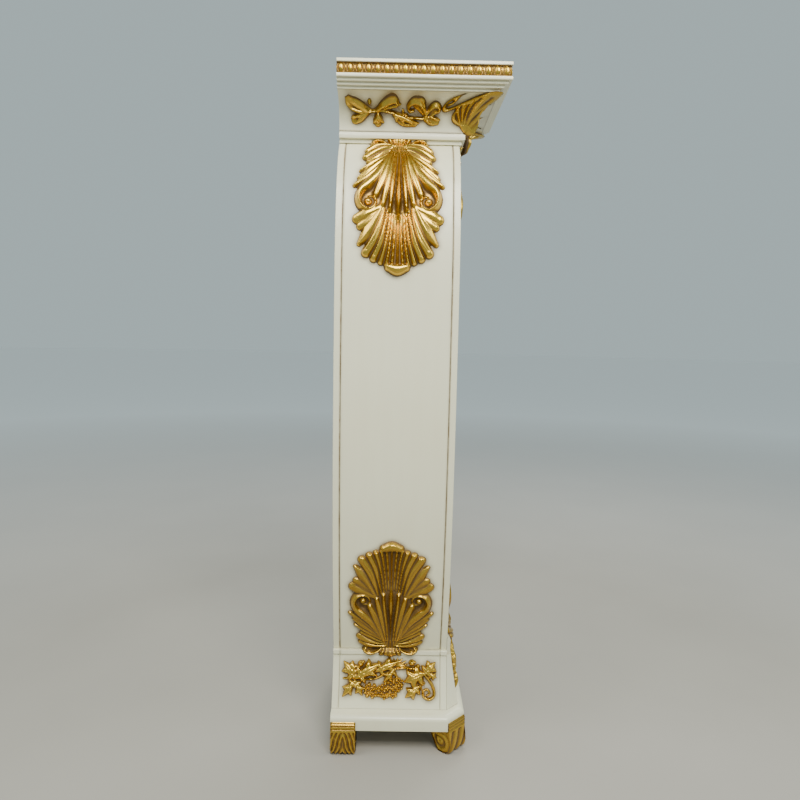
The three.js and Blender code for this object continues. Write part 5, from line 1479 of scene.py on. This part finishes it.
def put_floor(stage):
    """A level disc forty metres in radius, from rings of points, that pales with the distance like a studio sweep."""
    turn = np.linspace(0, 2 * math.pi, 64, endpoint=False)
    radius = np.array([[0.05], [0.5], [4.0], [40.0]])
    x, y = radius * np.cos(turn), radius * np.sin(turn)
    points = np.stack([x, y, np.zeros_like(x)], -1).reshape(-1, 3)
    mesh = bpy.data.meshes.new("floor")
    mesh.from_pydata(points, [], [*grid_quads(4, 64, True).tolist(), list(range(63, -1, -1))])
    floor = bpy.data.objects.new("floor", mesh)
    f = Finish("floor_finish")
    tone = f.spread(f.noise(2.5, 3), 0.3, 0.7)
    near = f.mix(tone, tuple(stage.floor), tuple(c * 0.94 for c in stage.floor))
    reach = add_node(f.tree, "ShaderNodeVectorMath", {0: f.place}, operation="LENGTH").outputs["Value"]
    colour = f.mix(f.spread(reach, 1.0, 6.0), near, (0.97, 0.97, 0.97))
    mesh.materials.append(f.surface(Base_Color=colour, Roughness=0.8, Specular_IOR_Level=0.2))
    bpy.context.scene.collection.objects.link(floor)


# name, place, what it points at, width and height in metres, share of the key light's power, colour
LIGHTS = (
    ("key", (-1.7, -0.3, 2.35), (0, 0, 1.05), (1.5, 1.0), 1, (1.0, 1.0, 0.95)),
    ("back_fill", (-0.9, 1.6, 2.5), (0, 0.1, 0.8), (1.2, 1.0), 0.32, (1.0, 1.0, 0.97)),
    ("far_fill", (1.6, -0.4, 2.4), (0, 0, 0.8), (1.3, 1.0), 0.42, (0.98, 1.0, 1.0)),
    ("front_fill", (-0.5, -2.0, 1.9), (0, 0, 0.9), (1.2, 1.2), 0.2, (0.97, 1.0, 1.0)),
)


def put_lights(stage):
    """The rectangular lights, and the light from all round."""
    for name, place, aim, size, share, colour in LIGHTS:
        light = bpy.data.lights.new(name, "AREA")
        light.shape, light.size, light.size_y = "RECTANGLE", *size
        light.energy, light.color = stage.key_power * share, colour
        lamp = bpy.data.objects.new(name, light)
        turn = (Vector(aim) - Vector(place)).to_track_quat("-Z", "Y")
        lamp.matrix_world = Matrix.Translation(place) @ turn.to_matrix().to_4x4()
        bpy.context.scene.collection.objects.link(lamp)
    world = bpy.data.worlds.new("studio")
    bpy.context.scene.world = world
    world.use_nodes = True
    backdrop = world.node_tree.nodes["Background"]
    backdrop.inputs["Color"].default_value = (*stage.sky, 1)
    backdrop.inputs["Strength"].default_value = stage.sky_strength


CAMERA_PLACE, CAMERA_DOWN, CAMERA_ASIDE, CAMERA_ROLL = (-1.365, 0.043, 0.806), 5.19, 0.48, 0.0193


def put_camera(stage):
    """The camera beside the stand's left side, tipped down and aside by degrees and rolled by radians."""
    camera = bpy.data.objects.new("camera", bpy.data.cameras.new("camera"))
    camera.data.lens, camera.data.sensor_width = stage.lens, 36
    down, aside, roll = math.radians(CAMERA_DOWN), math.radians(CAMERA_ASIDE), CAMERA_ROLL
    ahead = Vector((math.cos(down) * math.cos(aside), -math.cos(down) * math.sin(aside), -math.sin(down)))
    right = ahead.cross(Vector((0, 0, 1))).normalized()
    up = right.cross(ahead)
    right, up = right * math.cos(roll) + up * math.sin(roll), up * math.cos(roll) - right * math.sin(roll)
    turn = Matrix((right, up, -ahead)).transposed().to_4x4()
    camera.matrix_world = Matrix.Translation(CAMERA_PLACE) @ turn
    bpy.context.scene.collection.objects.link(camera)
    bpy.context.scene.camera = camera


OPERATORS = (
    STAND_OT_inner_parts, STAND_OT_boards, STAND_OT_panels, STAND_OT_front_block, STAND_OT_plinth, STAND_OT_capital,
    STAND_OT_egg_rows, STAND_OT_shaft_leaves, STAND_OT_scrolls, STAND_OT_corner_leaves, STAND_OT_plaques, STAND_OT_feet,
    STAND_OT_stage,
)


class STAND_PT_pedestal(bpy.types.Panel):
    """Lists the pieces of the stand and what can be changed"""

    bl_label = "Gilt Pedestal Column"
    bl_idname = "STAND_PT_pedestal"
    bl_space_type = "VIEW_3D"
    bl_region_type = "UI"
    bl_category = "Pedestal"

    def draw(self, context):
        for group, _ in GROUPS:
            settings = getattr(context.scene, group)
            box = self.layout.box()
            for key in settings.bl_rna.properties.keys():
                if key not in {"rna_type", "name"}:
                    box.prop(settings, key)
        column = self.layout.column(align=True)
        for operator in OPERATORS:
            column.operator(operator.bl_idname)


GROUPS = (("stand_sizes", StandSizes), ("stand_finish", StandFinish), ("stand_stage", StandStage))


def register():
    """Adds the settings, the operators and the panel."""
    for name, group in GROUPS:
        bpy.utils.register_class(group)
        setattr(bpy.types.Scene, name, bpy.props.PointerProperty(type=group))
    for operator in OPERATORS:
        bpy.utils.register_class(operator)
    bpy.utils.register_class(STAND_PT_pedestal)


def unregister():
    """Takes away the panel, the operators and the settings."""
    bpy.utils.unregister_class(STAND_PT_pedestal)
    for operator in reversed(OPERATORS):
        bpy.utils.unregister_class(operator)
    for name, group in reversed(GROUPS):
        delattr(bpy.types.Scene, name)
        bpy.utils.unregister_class(group)


def main():
    """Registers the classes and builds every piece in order."""
    register()
    for operator in OPERATORS:
        family, action = operator.bl_idname.split(".")
        if getattr(getattr(bpy.ops, family), action)() != {"FINISHED"}:
            raise RuntimeError(f"{operator.bl_idname} didn't finish")


if __name__ == "__main__":
    main()
